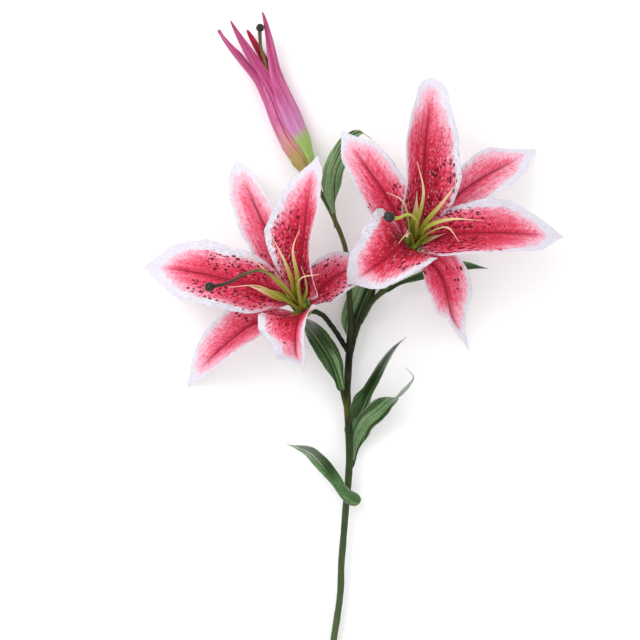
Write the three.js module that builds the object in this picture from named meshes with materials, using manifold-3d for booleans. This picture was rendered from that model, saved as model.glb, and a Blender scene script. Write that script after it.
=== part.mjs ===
// A cut lily stem with fabric tepals and leaves on moulded green stalks, lying face up on a table.
// Millimetres, +Z up from the table, +Y along the stem towards the blooms.
// Each tepal and leaf is one thin blade: a section carried along a midrib that passes through a few points.
import * as THREE from "three";
import { mergeVertices } from "three/addons/utils/BufferGeometryUtils.js";
import Module from "manifold-3d";

const wasm = await Module();
wasm.setup();

// Driving dimensions
const bladeThickness = 0.7;
const petalHalfWidth = 27;
const sepalHalfWidth = 18.5;
const seatGap = 0.35; // between a piece and the face that carries it
const receptacleRadius = 8;
const petalSeatRadius = 5.6;
const sepalSeatRadius = 6.6;
const clawHalfWidth = 2.6; // half the width of a tepal where it leaves the receptacle
const filamentRing = { inner: 2.0, outer: 4.1, height: 10 };
const pistilRadius = 1.35;
const budSeatRadius = 4.4;

const colours = {
  stem: 0x4f6b33,
  leaf: 0x3f6b3a,
  petal: 0xe0405f,
  sepal: 0xec6c86,
  budPetal: 0xc9508f,
  filament: 0xa3a63c,
  pistil: 0x2f3b26,
};

const radians = THREE.MathUtils.degToRad;
const vector = (p) => new THREE.Vector3(...p);
const smooth = (low, high, x) => THREE.MathUtils.smoothstep(x, low, high);
const mix = THREE.MathUtils.lerp;

// A smooth curve through hand-placed points, read by its share of length.
function through(points) {
  return new THREE.CatmullRomCurve3(points, false, "catmullrom", 0.5);
}

// A value that eases through [place, value] stops.
function byStops(stops, place) {
  const next = stops.findIndex(([at]) => at >= place);
  if (next === 0) return stops[0][1];
  if (next < 0) return stops.at(-1)[1];
  const [[a, low], [b, high]] = [stops[next - 1], stops[next]];
  return mix(low, high, smooth(a, b, place));
}

// One closed body from rings of points. Both ends are closed in strips that run from one side of the ring
// to the other, so the end of a curved section stays within its outline.
function closedRings(rings) {
  const sides = rings[0].length;
  const places = rings.flat();
  const faces = [];
  for (let i = 0; i + 1 < rings.length; i++)
    for (let j = 0; j < sides; j++) {
      const a = i * sides + j;
      const b = i * sides + ((j + 1) % sides);
      faces.push(a, b, b + sides, a, b + sides, a + sides);
    }
  const last = (rings.length - 1) * sides;
  for (let low = 0, high = sides - 1; low + 1 < high; low++, high--) {
    faces.push(low, high, high - 1);
    faces.push(last + low, last + high - 1, last + high);
    if (low + 2 === high) continue;
    faces.push(low, high - 1, low + 1);
    faces.push(last + low, last + low + 1, last + high - 1);
  }
  const geometry = new THREE.BufferGeometry().setFromPoints(places);
  geometry.setIndex(faces);
  return geometry;
}

function solidOf(geometry) {
  const bare = geometry.clone();
  bare.deleteAttribute("normal");
  bare.deleteAttribute("uv");
  const merged = mergeVertices(bare, 1e-4);
  return new wasm.Manifold(
    new wasm.Mesh({
      numProp: 3,
      vertProperties: new Float32Array(merged.attributes.position.array),
      triVerts: new Uint32Array(merged.index.array),
    }),
  );
}

function geometryOf(solid) {
  const mesh = solid.getMesh();
  const geometry = new THREE.BufferGeometry();
  geometry.setAttribute("position", new THREE.BufferAttribute(mesh.vertProperties, 3));
  geometry.setIndex(new THREE.BufferAttribute(mesh.triVerts, 1));
  return geometry;
}

// Joins several closed geometries into one body.
function fused(geometries) {
  return geometryOf(geometries.map(solidOf).reduce((whole, piece) => whole.add(piece)));
}

// The frame of a blade or filament at a share of its length: tangent, left side and inner face.
function frameAt(curve, share, left) {
  const tangent = curve.getTangentAt(share);
  const side = left.clone().addScaledVector(tangent, -left.dot(tangent)).normalize();
  return { tangent, side, face: tangent.clone().cross(side) };
}

// A round or oval stalk along a curve; radius(share) gives [across, through].
function stalk({ points, radius, sides = 8, steps = 12, left }) {
  const curve = through(points);
  const frames = curve.computeFrenetFrames(steps, false);
  const rings = [];
  for (let i = 0; i <= steps; i++) {
    const share = i / steps;
    const middle = curve.getPointAt(share);
    const [across, deep] = [radius(share)].flat();
    const side = left ? frameAt(curve, share, left).side : frames.normals[i];
    const face = left ? frameAt(curve, share, left).face : frames.binormals[i];
    const ring = [];
    for (let j = 0; j < sides; j++) {
      const turn = (2 * Math.PI * j) / sides;
      const place = middle
        .clone()
        .addScaledVector(side, across * Math.cos(turn))
        .addScaledVector(face, (deep ?? across) * Math.sin(turn));
      place.z = Math.max(place.z, 0);
      ring.push(place);
    }
    rings.push(ring);
  }
  return closedRings(rings);
}

// Half the width of a blade at a share of its length: a narrow claw, a belly and a pointed or blunt tip.
function halfWidth(blade, share) {
  const { half, widest = 0.5, point = 1, claw = clawHalfWidth, taper = 8, tip = 0 } = blade;
  const rise = (point * widest) / (1 - widest);
  const belly = (share / widest) ** rise * ((1 - share) / (1 - widest)) ** point;
  const heel = Math.sqrt(Math.min(1, (share + 0.03) / (blade.blunt ?? 0.01)));
  const body = mix(claw, half * belly, smooth(0, 0.3, share)) * heel * (1 - share ** taper);
  return body + 0.45 + tip * smooth(0.8, 1, share);
}

// The middle surface of a blade. t runs from -1, the right edge, to 1, the left edge.
// Each half leaves the midrib at its slope and bends by its curl on the way to the edge.
function bladeSurface(blade) {
  const curve = through(blade.points);
  const chord = blade.points.at(-1).clone().sub(blade.points[0]);
  const left = blade.left ?? blade.up.clone().cross(chord).normalize();
  const { slope, curl, roll = [0, 0], wave, root, tipSlope = [6, 6], reach = [[[0, 1]], [[0, 1]]] } = blade;
  return (share, t) => {
    const open = smooth(0.04, 0.38, share);
    const { tangent, side, face } = frameAt(curve, share, (blade.rootLeft ?? left).clone().lerp(left, open));
    const { from = 0, to = 1, degrees = 0 } = blade.twist ?? {};
    const turn = radians(open * mix(roll[0], roll[1], share) + degrees * smooth(from, to, share));
    const across = side.clone().applyAxisAngle(tangent, turn);
    const inward = face.clone().applyAxisAngle(tangent, turn);
    const which = t > 0 ? 0 : 1;
    const steep = Array.isArray(slope[which]) ? byStops(slope[which], share) : slope[which];
    const ending = smooth(0.55, 1, share);
    const lean = radians(mix(mix(0, steep, open), tipSlope[which], ending));
    const bend = radians(mix(mix(root, curl[which], open), curl[which] / 3, ending));
    const far = Math.abs(t);
    const width = halfWidth(blade, share) * byStops(reach[which], share);
    const out = (width * (Math.sin(lean + bend * far) - Math.sin(lean))) / bend;
    const raise = (width * (Math.cos(lean) - Math.cos(lean + bend * far))) / bend;
    const ruffle =
      wave.height *
      far ** 2.4 *
      smooth(0.15, 0.4, share) *
      (1 - share ** 5) *
      Math.sin(2 * Math.PI * wave.count * share + wave.phase[which]);
    return curve
      .getPointAt(share)
      .addScaledVector(across, Math.sign(t) * out)
      .addScaledVector(inward, raise + ruffle);
  };
}

// A blade as a thin closed body, split alike on both faces. Nothing reaches below the table.
function bladeGeometry(blade) {
  const { lengthCells = 14, widthCells = 6 } = blade;
  const surface = bladeSurface(blade);
  const small = 1e-3;
  const upper = [];
  const lower = [];
  for (let i = 0; i <= lengthCells; i++)
    for (let j = 0; j <= widthCells; j++) {
      const share = i / lengthCells;
      const t = (2 * j) / widthCells - 1;
      const middle = surface(share, t);
      const [s0, s1] = [Math.max(share - small, 0), Math.min(share + small, 1)];
      const [t0, t1] = [Math.max(t - small, -1), Math.min(t + small, 1)];
      const along = surface(s1, t).sub(surface(s0, t));
      const across = surface(share, t1).sub(surface(share, t0));
      const normal = along.cross(across).normalize();
      const top = middle.clone().addScaledVector(normal, bladeThickness / 2);
      const bottom = middle.clone().addScaledVector(normal, -bladeThickness / 2);
      const [under, over] = normal.z >= 0 ? [bottom, top] : [top, bottom];
      under.z = Math.max(under.z, 0);
      over.z = Math.max(over.z, under.z + 0.6 * Math.abs(normal.z));
      upper.push(top);
      lower.push(bottom);
    }
  const row = widthCells + 1;
  const back = upper.length;
  const faces = [];
  for (let i = 0; i < lengthCells; i++)
    for (let j = 0; j < widthCells; j++) {
      const a = i * row + j;
      faces.push(a, a + row, a + row + 1, a, a + row + 1, a + 1);
      faces.push(back + a, back + a + row + 1, back + a + row, back + a, back + a + 1, back + a + row + 1);
    }
  const rim = [];
  for (let j = 0; j < widthCells; j++) rim.push(j);
  for (let i = 0; i < lengthCells; i++) rim.push(i * row + widthCells);
  for (let j = widthCells; j > 0; j--) rim.push(lengthCells * row + j);
  for (let i = lengthCells; i > 0; i--) rim.push(i * row);
  rim.forEach((a, k) => {
    const b = rim[(k + 1) % rim.length];
    faces.push(a, b, back + b, a, back + b, back + a);
  });
  const geometry = new THREE.BufferGeometry().setFromPoints([...upper, ...lower]);
  geometry.setIndex(faces);
  return geometry;
}

function meshOf(name, geometry, colour, roughness = 0.7) {
  const material = new THREE.MeshStandardMaterial({ color: colour, roughness, metalness: 0 });
  const mesh = new THREE.Mesh(geometry, material);
  mesh.name = name;
  return mesh;
}

// The two open blooms. Points are measured from the top of the receptacle, whose face looks along axis.
// azimuth is where a tepal or filament stands round that face; slope and curl are [left, right] in degrees.
const blooms = [
  {
    name: "left_bloom",
    centre: [-38.3, 78.8, 32],
    axis: [-0.27, 0.25, 0.93],
    tepals: [
      {
        name: "petal_west",
        azimuth: 177,
        points: [[-16, 11, 16], [-43, 18, 27], [-73, 25, 18], [-101, 30, -6], [-122, 32, -31.8]],
        slope: [8, 10],
        curl: [14, 10],
        reach: [[[0.06, 1], [0.13, 1.6], [0.22, 1], [0.7, 0.86], [1, 0.86]], [[0.4, 0.92], [0.7, 0.96], [0.95, 1]]],
        wave: { height: 2.2, count: 2.2, phase: [0.5, 2.4] },
      },
      {
        name: "petal_north",
        azimuth: 57,
        points: [[-3, 20, 26], [0, 46, 38], [3, 75, 34], [8, 99, 20], [11, 114, 6]],
        slope: [6, 42],
        curl: [6, 20],
        reach: [
          [[0.2, 0.7], [0.5, 1.12], [0.7, 0.9], [0.88, 1.2]],
          [[0.03, 0.9], [0.12, 1.2], [0.26, 1.6], [0.44, 0.8], [0.58, 1.15], [0.76, 0.72]],
        ],
        roll: [0, -10],
        wave: { height: 3, count: 2.6, phase: [2.6, 0.4] },
      },
      {
        name: "petal_south",
        azimuth: 297,
        points: [[-3, -8, 36], [-5, -19, 49], [-5, -31, 40], [-3, -39, 23], [-1, -43, 8]],
        slope: [[[0.15, 10], [0.4, 38]], 4],
        curl: [12, 4],
        tipSlope: [60, 6],
        reach: [
          [[0.08, 1], [0.22, 0.6], [0.36, 0.72], [0.52, 0.5], [0.85, 0.62]],
          [[0.38, 1.12], [0.52, 1], [0.68, 0.7], [0.85, 0.72]],
        ],
        wave: { height: 3, count: 2.6, phase: [0.2, 1.8] },
      },
      {
        name: "sepal_north_west",
        azimuth: 117,
        sepal: true,
        points: [[-12, 23, 9], [-24, 51, 13], [-36, 77, 5], [-45, 98, -9], [-51, 112, -21]],
        slope: [16, 14],
        curl: [14, 14],
        reach: [[[0.2, 0.88], [0.4, 0.98], [0.75, 1]], [[0.2, 0.84], [0.4, 0.92], [0.72, 0.7]]],
        point: 0.7,
        taper: 50,
        tip: 0.6,
        wave: { height: 1.2, count: 1.6, phase: [0, 1] },
      },
      {
        name: "sepal_south_west",
        azimuth: 237,
        sepal: true,
        points: [[-17, -6, 10], [-36, -11, 13], [-53, -23, 3], [-73, -41, -16], [-89, -60, -31.8]],
        slope: [22, 20],
        curl: [16, 14],
        reach: [[[0.3, 1], [0.6, 0.86], [1, 0.9]], [[0.5, 1], [0.85, 1.1]]],
        wave: { height: 1.4, count: 1.8, phase: [1, 2.6] },
      },
      {
        name: "sepal_east",
        azimuth: -3,
        sepal: true,
        points: [[11, 12, 13], [22, 22, 14], [34, 29, 9], [44, 34, 3], [52, 38, -3]],
        slope: [10, 10],
        curl: [10, 10],
        reach: [[[0.02, 0.8], [0.12, 0.45], [0.34, 1]], [[0, 1]]],
        taper: 8,
        tip: 0,
        wave: { height: 1, count: 1.5, phase: [0.6, 2] },
      },
    ],
    filaments: [
      { azimuth: -40, points: [[-3, 16, 42], [0, 22, 58], [12, 24, 70]] },
      { azimuth: 20, points: [[3, 12.5, 34], [2, 21.5, 48], [-1, 30, 56]] },
      { azimuth: 80, points: [[-4, 24, 40], [-7, 42, 58], [-2, 57, 66]] },
      { azimuth: 140, points: [[-8, 20, 38], [-14, 36, 54], [-23, 53, 60]] },
      { azimuth: 200, points: [[-15, 15, 32], [-28, 28, 44], [-41, 40, 46]] },
      { azimuth: 260, points: [[-17, 8, 30], [-33, 16, 42], [-55, 15, 44]] },
      { azimuth: 170, broad: true, points: [[-9, 5, 15], [-16, 8, 22.5], [-29, 12.5, 30], [-42, 17, 32]] },
    ],
    pistil: {
      points: [[-10, 12, 32], [-19, 21, 48], [-30, 27, 56], [-41, 25, 56], [-55, 18, 53], [-68, 15, 53]],
      stigma: 3.7,
    },
  },
  {
    name: "right_bloom",
    centre: [43.7, 125.4, 36],
    axis: [0.1, 0.3, 0.95],
    tepals: [
      {
        name: "petal_north",
        azimuth: 96,
        points: [[3, 18, 20], [7, 39, 34], [8, 69, 34], [12.3, 100, 14], [16.8, 128, -12]],
        slope: [44, 10],
        curl: [20, 8],
        reach: [
          [[0.2, 0.92], [0.5, 1.02], [0.8, 0.64], [0.94, 0.75]],
          [[0.2, 0.88], [0.42, 1.04], [0.6, 0.9], [0.82, 0.7], [0.94, 0.85]],
        ],
        point: 0.6,
        taper: 60,
        tip: 0.6,
        wave: { height: 2.2, count: 2.4, phase: [0.6, 1.6] },
      },
      {
        name: "petal_east",
        azimuth: -24,
        points: [[14, 6, 22], [35, 8, 34], [64, 9, 25], [92, 8, 4], [116, 7, -20]],
        slope: [-3, 32],
        curl: [8, 16],
        reach: [[[0.5, 0.96], [0.9, 1.05]], [[0.06, 1], [0.13, 1.6], [0.26, 1.16], [0.45, 1.1], [0.72, 0.82], [0.88, 0.66]]],
        wave: { height: 2, count: 2.2, phase: [0.2, 1.2] },
      },
      {
        name: "petal_south_west",
        azimuth: 216,
        points: [[-8, 0, 38], [-18, -8, 51], [-31, -18, 44], [-42, -25, 31.5], [-49, -29, 18.8]],
        slope: [22, 6],
        curl: [10, 8],
        reach: [[[0.35, 1.06], [0.62, 0.86], [0.83, 0.5]], [[0.25, 1], [0.4, 1.2], [0.55, 1]]],
        wave: { height: 2.6, count: 2.4, phase: [2.4, 0.4] },
      },
      {
        name: "sepal_north_west",
        azimuth: 156,
        sepal: true,
        points: [[-10, 18, 11], [-22, 40, 16], [-34, 58, 11], [-44, 73, 3], [-53, 87, -5]],
        slope: [12, 10],
        curl: [10, 8],
        reach: [[[0.3, 1.1], [0.65, 1], [0.9, 1.15]], [[0.5, 1], [0.9, 1.25]]],
        wave: { height: 1.2, count: 1.5, phase: [1, 0] },
      },
      {
        name: "sepal_north_east",
        azimuth: 36,
        sepal: true,
        points: [[15, 18, 13], [33, 37, 14], [54, 52, 4], [76, 64, -16], [96, 75, -35.8]],
        slope: [16, 6],
        curl: [14, 14],
        reach: [[[0.4, 0.84], [0.7, 1.02], [0.95, 1.1]], [[0.6, 1], [0.9, 1.15]]],
        wave: { height: 1.4, count: 2, phase: [0.4, 2] },
      },
      {
        name: "sepal_south",
        azimuth: 276,
        sepal: true,
        points: [[8, -10, 14], [18, -18, 18], [25, -33, 9], [30, -52, -9], [39, -66, -24], [45, -79, -35.8]],
        slope: [14, 16],
        curl: [14, 14],
        reach: [[[0.06, 1], [0.14, 1.4], [0.5, 1], [0.7, 0.9], [0.84, 0.45]], [[0.3, 1.1], [0.46, 1], [0.64, 0.34], [1, 0.5]]],
        taper: 8,
        tip: 0.4,
        wave: { height: 1.6, count: 2, phase: [2, 0.4] },
      },
    ],
    filaments: [
      { azimuth: -60, points: [[12, 9, 36], [24, 12, 48], [33, 1, 48]] },
      { azimuth: 0, points: [[10, 13, 36], [26, 18, 50], [49, 17, 52]] },
      { azimuth: 60, points: [[10, 18, 36], [21, 31, 52], [33, 48, 60]] },
      { azimuth: 120, points: [[4, 22, 42], [6, 39, 60], [1, 59, 68]] },
      { azimuth: 180, points: [[-5, 22, 42], [-10, 32, 56], [-21, 37, 62]] },
      { azimuth: 240, points: [[-3, 8, 36], [-7, 6, 44], [-12, 0, 46]] },
      { azimuth: 90, broad: true, points: [[1, 15, 26], [1.5, 24, 33], [2, 39, 41]] },
      { azimuth: -30, broad: true, points: [[8, 3, 20], [15, 5.5, 27], [23, 8, 32]] },
    ],
    pistil: {
      points: [[2, 11, 34], [1, 17, 52], [-5, 21, 62], [-13, 18, 66], [-19, 19, 68]],
      stigma: 4.1,
    },
  },
];

// The face of a receptacle: turns a place round and above it into the layout.
function seatOf({ centre, axis }) {
  const middle = vector(centre);
  const up = vector(axis).normalize();
  const east = new THREE.Vector3(1, 0, 0).addScaledVector(up, -up.x).normalize();
  const north = up.clone().cross(east);
  const outward = (azimuth) =>
    east
      .clone()
      .multiplyScalar(Math.cos(radians(azimuth)))
      .addScaledVector(north, Math.sin(radians(azimuth)));
  const place = (radius, azimuth, height) =>
    middle.clone().addScaledVector(outward(azimuth), radius).addScaledVector(up, height);
  return { middle, up, outward, place };
}

function tepal(bloom, seat, spec) {
  const radius = spec.sepal ? sepalSeatRadius : petalSeatRadius;
  const points = [
    seat.place(radius, spec.azimuth, seatGap),
    seat.place(radius + (spec.sepal ? 1.8 : 0.6), spec.azimuth, 8),
    ...spec.points.map((p) => vector(p).add(seat.middle)),
  ];
  const half = spec.sepal ? sepalHalfWidth : petalHalfWidth;
  const root = THREE.MathUtils.radToDeg(clawHalfWidth / radius); // the claw follows the ring of stamens
  const rootLeft = seat.up.clone().cross(seat.outward(spec.azimuth));
  const blade = { half, root, rootLeft, taper: 12, tip: 1, ...spec, points, up: seat.up };
  const colour = spec.sepal ? colours.sepal : colours.petal;
  return meshOf(`${bloom.name}_${spec.name}`, bladeGeometry(blade), colour);
}

// Six filaments on one short ring that stands on the receptacle round the foot of the pistil.
function stamens(bloom, seat) {
  const { inner, outer, height } = filamentRing;
  const profile = [
    [inner, 0],
    [outer, 0],
    [outer - 0.6, height],
    [inner, height],
    [inner, 0],
  ].map(([r, z]) => new THREE.Vector2(r, z));
  const ring = new THREE.LatheGeometry(profile, 12);
  ring.rotateX(Math.PI / 2);
  const upright = new THREE.Quaternion().setFromUnitVectors(new THREE.Vector3(0, 0, 1), seat.up);
  ring.applyQuaternion(upright);
  const foot = seat.place(0, 0, seatGap);
  ring.translate(foot.x, foot.y, foot.z);
  const middleRadius = (inner + outer) / 2;
  const filaments = bloom.filaments.map(({ azimuth, points, broad }) =>
    stalk({
      points: [
        seat.place(middleRadius, azimuth, 4),
        seat.place(middleRadius + 0.3, azimuth, 13),
        ...points.map((p) => vector(p).add(seat.middle)),
      ],
      left: seat.up.clone().cross(seat.outward(azimuth)),
      radius: (share) => [
        byStops(broad ? [[0, 0.9], [0.5, 3.3], [1, 0.35]] : [[0, 0.9], [0.5, 1.5], [1, 0.35]], share),
        byStops(broad ? [[0, 0.8], [1, 0.35]] : [[0, 0.8], [0.6, 0.7], [1, 0.35]], share),
      ],
      sides: 6,
      steps: 9,
    }),
  );
  return meshOf(`${bloom.name}_stamens`, fused([ring, ...filaments]), colours.filament, 0.5);
}

function pistil(bloom, seat) {
  const points = [
    seat.place(0, 0, seatGap),
    seat.place(0, 0, 7),
    seat.place(0, 0, 14),
    ...bloom.pistil.points.map((p) => vector(p).add(seat.middle)),
  ];
  const style = stalk({ points, radius: () => pistilRadius, sides: 7, steps: 18 });
  const stigma = new THREE.SphereGeometry(bloom.pistil.stigma, 9, 7);
  const end = points.at(-1);
  stigma.translate(end.x, end.y, end.z);
  return meshOf(`${bloom.name}_pistil`, fused([style, stigma]), colours.pistil, 0.35);
}

// The bud lies on the table. Two layers of three tepals stand round its axis like the staves of a barrel.
const bud = {
  axis: [[-35, 183, 15], [-42.5, 202, 12.4], [-52.5, 226, 11.2], [-64, 253, 11.8], [-75, 277, 14]],
  radius: [[0, 4.2], [0.1, 7.4], [0.24, 9.8], [0.42, 10.3], [0.62, 9.2], [0.8, 7.6], [1, 5.8]],
  layerGap: 1.6,
  footTurn: 36, // degrees that the outer layer is turned at its foot
  // Azimuths run round the axis from straight up towards the right: [where it grows, where its tip lies].
  staves: [
    { name: "sepal_left", azimuth: [-82, -56], outer: true, length: 1, tip: [-103, 290, 18] },
    { name: "sepal_right", azimuth: [38, 44], outer: true, length: 1, tip: [-69, 303, 22] },
    { name: "sepal_under", azimuth: [158, 158], outer: true, length: 0.84, tip: [-74, 281, 3] },
    { name: "petal_top", azimuth: [-22, -26], length: 1, tip: [-93, 296, 26] },
    { name: "petal_right", azimuth: [98, 130], point: 0.6, length: 0.9, tip: [-81, 291, 10] },
    { name: "petal_left", azimuth: [218, 218], length: 0.86, tip: [-80, 278, 8] },
  ],
  spread: { outer: 50, inner: 56 }, // half the angle that a stave covers, in degrees
  partsAt: 0.56, // share of the length where the tepals leave each other
  pistil: [[-58, 239, 13], [-66, 262, 17], [-70, 275, 20], [-71, 284, 21.5], [-71, 291, 22.5]],
  stigma: 3.2,
};

function budFrame() {
  const curve = through(bud.axis.map(vector));
  return (share) => {
    const tangent = curve.getTangentAt(share);
    const right = tangent.clone().cross(new THREE.Vector3(0, 0, 1)).normalize();
    return { middle: curve.getPointAt(share), tangent, right, up: right.clone().cross(tangent) };
  };
}

// The middle surface of a stave: the bud's round body as far as partsAt, then a blade that leans to its tip.
function staveSurface(spec) {
  const frame = budFrame();
  const spread = radians(spec.outer ? bud.spread.outer : bud.spread.inner);
  const around = (share, turn, radius) => {
    const { middle, right, up } = frame(share);
    return middle
      .addScaledVector(right, radius * Math.sin(turn))
      .addScaledVector(up, radius * Math.cos(turn));
  };
  return (along, t, lift) => {
    const share = along * spec.length;
    const open = smooth(bud.partsAt, 1, along);
    const foot = spec.outer ? bud.footTurn * (1 - smooth(0, 0.34, along)) : 0;
    const ridge = radians(mix(...spec.azimuth, open) + foot);
    const narrow = (1 - Math.max(0, (along - 0.5) / 0.5) ** 2) ** (spec.point ?? 0.85) * 0.96 + 0.04;
    const radius = byStops(bud.radius, share) + (spec.outer ? bud.layerGap : 0) + lift;
    const end = byStops(bud.radius, spec.length) + (spec.outer ? bud.layerGap : 0);
    const lean = vector(spec.tip).sub(around(spec.length, radians(spec.azimuth[1]), end));
    return around(share, ridge + spread * t * narrow, radius).addScaledVector(lean, open ** 2.1);
  };
}

function stave(spec) {
  const steps = 13;
  const cells = 6;
  const surface = staveSurface(spec);
  const floor = spec.outer ? 0 : bladeThickness + seatGap;
  const rings = [];
  for (let i = 0; i <= steps; i++) {
    const outside = [];
    const inside = [];
    for (let j = 0; j <= cells; j++) {
      const t = (2 * j) / cells - 1;
      const outer = surface(i / steps, t, bladeThickness / 2);
      const inner = surface(i / steps, t, -bladeThickness / 2);
      outer.z = Math.max(outer.z, floor);
      inner.z = Math.max(inner.z, floor + bladeThickness);
      outside.push(outer);
      inside.push(inner);
    }
    rings.push([...outside, ...inside.reverse()]);
  }
  return meshOf(`bud_${spec.name}`, closedRings(rings), colours.budPetal);
}

function budPistil() {
  const frame = budFrame();
  const points = [frame(0).middle.addScaledVector(frame(0).tangent, seatGap), ...bud.pistil.map(vector)];
  const style = stalk({ points, radius: () => pistilRadius, sides: 7, steps: 12 });
  const stigma = new THREE.SphereGeometry(bud.stigma, 9, 7);
  const end = points.at(-1);
  stigma.translate(end.x, end.y, end.z);
  return meshOf("bud_pistil", fused([style, stigma]), colours.pistil, 0.35);
}

// Leaves. Each stands on a stub that grows from the stem at `from`; its points begin at the stub's end.
// The drooping leaf has no stub: it clasps the stem across its front.
const leaves = [
  {
    name: "leaf_under_left_bloom",
    from: [-6, 5, 15],
    points: [[-9, 16, 20], [-12, 27, 25], [-17, 40, 26], [-26, 54, 23], [-35, 66, 16], [-43, 75, 9]],
    half: 9.5,
    claw: 3.6,
    widest: 0.5,
    up: [0.1, -0.2, 1],
    slope: [8, 20],
    curl: [10, 10],
    reach: [[[0.3, 0.9], [0.6, 0.8]], [[0, 1]]],
  },
  {
    name: "leaf_upright",
    from: [-4, -14, 14],
    points: [[-1, -4, 18], [6, 9, 22], [15, 24, 27], [22, 37, 28], [30, 48, 27], [40, 57, 24]],
    half: 9,
    widest: 0.34,
    claw: 4.4,
    up: [0, 0, 1],
    slope: [60, 60],
    curl: [6, 6],
    tipSlope: [60, 60],
  },
  {
    name: "leaf_curled_tip",
    from: [-4, -46, 10],
    points: [
      [0, -38, 8.5], [3, -23, 8], [9, -9, 12], [19, 0, 16.5], [28, 8, 20], [35, 14, 23], [42, 21, 24],
      [45, 27, 25], [39, 34, 26],
    ],
    half: 8.4,
    widest: 0.36,
    point: 1.5,
    lengthCells: 20,
    reach: [[[0.08, 1], [0.2, 1.9], [0.36, 1], [0.54, 1.15], [0.68, 0.5]], [[0.54, 1], [0.68, 0.5]]],
    up: [0, 0, 1],
    slope: [-4, 30],
    curl: [4, 30],
    twist: { from: 0.6, to: 0.76, degrees: 165 },
  },
  {
    name: "leaf_drooping",
    points: [[5, -69, 13], [-6, -62.5, 15], [-15, -52, 20], [-26, -38, 23], [-35, -30, 19], [-51, -25, 11]],
    half: 6.4,
    claw: 6,
    widest: 0.5,
    up: [0, 0, 1],
    slope: [4, 4],
    curl: [8, 8],
    blunt: 0.14,
    reach: [[[0.1, 1.1], [0.36, 0.55], [0.7, 0.8]], [[0, 1]]],
  },
  {
    name: "leaf_behind_stem",
    from: [-4, 38, 14],
    points: [[-3.5, 47, 10.5], [-2, 57, 10], [-1, 70, 9.5], [5, 85, 9.5], [11, 100, 9.5], [17, 117, 9]],
    half: 10,
    widest: 0.5,
    up: [0, 0, 1],
    slope: [8, 8],
    curl: [8, 8],
  },
  {
    name: "leaf_under_right_bloom",
    from: [16, 86, 18],
    points: [[25, 92, 13], [36, 98, 11.5], [49, 102.5, 11.5], [66, 108, 12], [84, 111, 12], [103, 109, 11]],
    half: 4.5,
    widest: 0.6,
    up: [0, 0, 1],
    slope: [20, 20],
    curl: [8, 8],
  },
  {
    name: "leaf_on_bud_stalk",
    from: [-13, 140, 21],
    points: [
      [-15, 150, 23], [-17, 160, 25], [-17, 172, 26], [-15, 184, 26], [-9, 198, 24], [-3, 207, 20],
      [5, 212, 15], [14, 208, 10],
    ],
    half: 8,
    widest: 0.38,
    point: 1,
    up: [0, 0, 1],
    slope: [16, 16],
    curl: [10, 10],
  },
];
const leafClaw = 1.5;

function leaf(spec) {
  const blade = {
    widest: 0.42,
    point: 1.1,
    claw: leafClaw,
    lengthCells: 14,
    widthCells: 4,
    wave: { height: 0.8, count: 1.5, phase: [0, 1.5] },
    root: 10,
    tipSlope: [10, 10],
    ...spec,
    points: spec.points.map(vector),
    up: vector(spec.up),
  };
  return meshOf(spec.name, bladeGeometry(blade), colours.leaf);
}

// The stem, its three bloom stalks with their receptacles, and the stub of every leaf: one grown piece.
const stem = {
  main: [
    [-26.6, -303, 2.3], [-20, -213, 5], [-15, -175, 6.5], [-10, -138, 8], [-9, -113, 9], [-6, -76, 11],
    [-4, -52, 12], [-3, -28, 13], [-4, -6, 14], [-5, 14, 15], [-4, 32, 16], [-3, 50, 17], [-2, 67, 18],
    [-3, 85, 19], [-4, 104, 20], [-7, 127, 21], [-16, 149, 20], [-26, 168, 18], [-31, 176, 16],
    [-34.3, 181.5, 15.1],
  ],
  radius: [[0, 2.45], [0.45, 2.5], [0.62, 2.85], [0.74, 2.7], [0.8, 2.1], [0.9, 1.7], [1, 1.6]],
  left: [[-3, 44, 17], [-8, 52, 17], [-13, 60, 17.5], [-18, 67, 17], [-23, 73, 16], [-29, 76, 17]],
  right: [[-3, 40, 16], [-0.5, 52, 17], [3, 64, 18], [9, 77, 18], [17, 87, 18], [26, 96, 17], [35, 108, 18]],
  stalkRadius: 1.9,
  stubRadius: [1.9, 1.35],
  receptacleHeight: 9,
};

// A receptacle widens from its stalk to the flat face that carries the tepals.
function bloomStalk(seat, route, faceRadius, stalkRadius) {
  const under = seat.place(0, 0, -stem.receptacleHeight);
  const stalkPiece = stalk({
    points: [...route.map(vector), under, seat.place(0, 0, -stem.receptacleHeight / 2)],
    radius: () => stalkRadius,
    sides: 8,
    steps: 16,
  });
  const cup = stalk({
    points: [under, seat.place(0, 0, -stem.receptacleHeight / 2), seat.middle.clone()],
    radius: (share) => byStops([[0, stalkRadius], [0.6, faceRadius * 0.72], [1, faceRadius]], share),
    sides: 12,
    steps: 4,
  });
  return [stalkPiece, cup];
}

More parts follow.
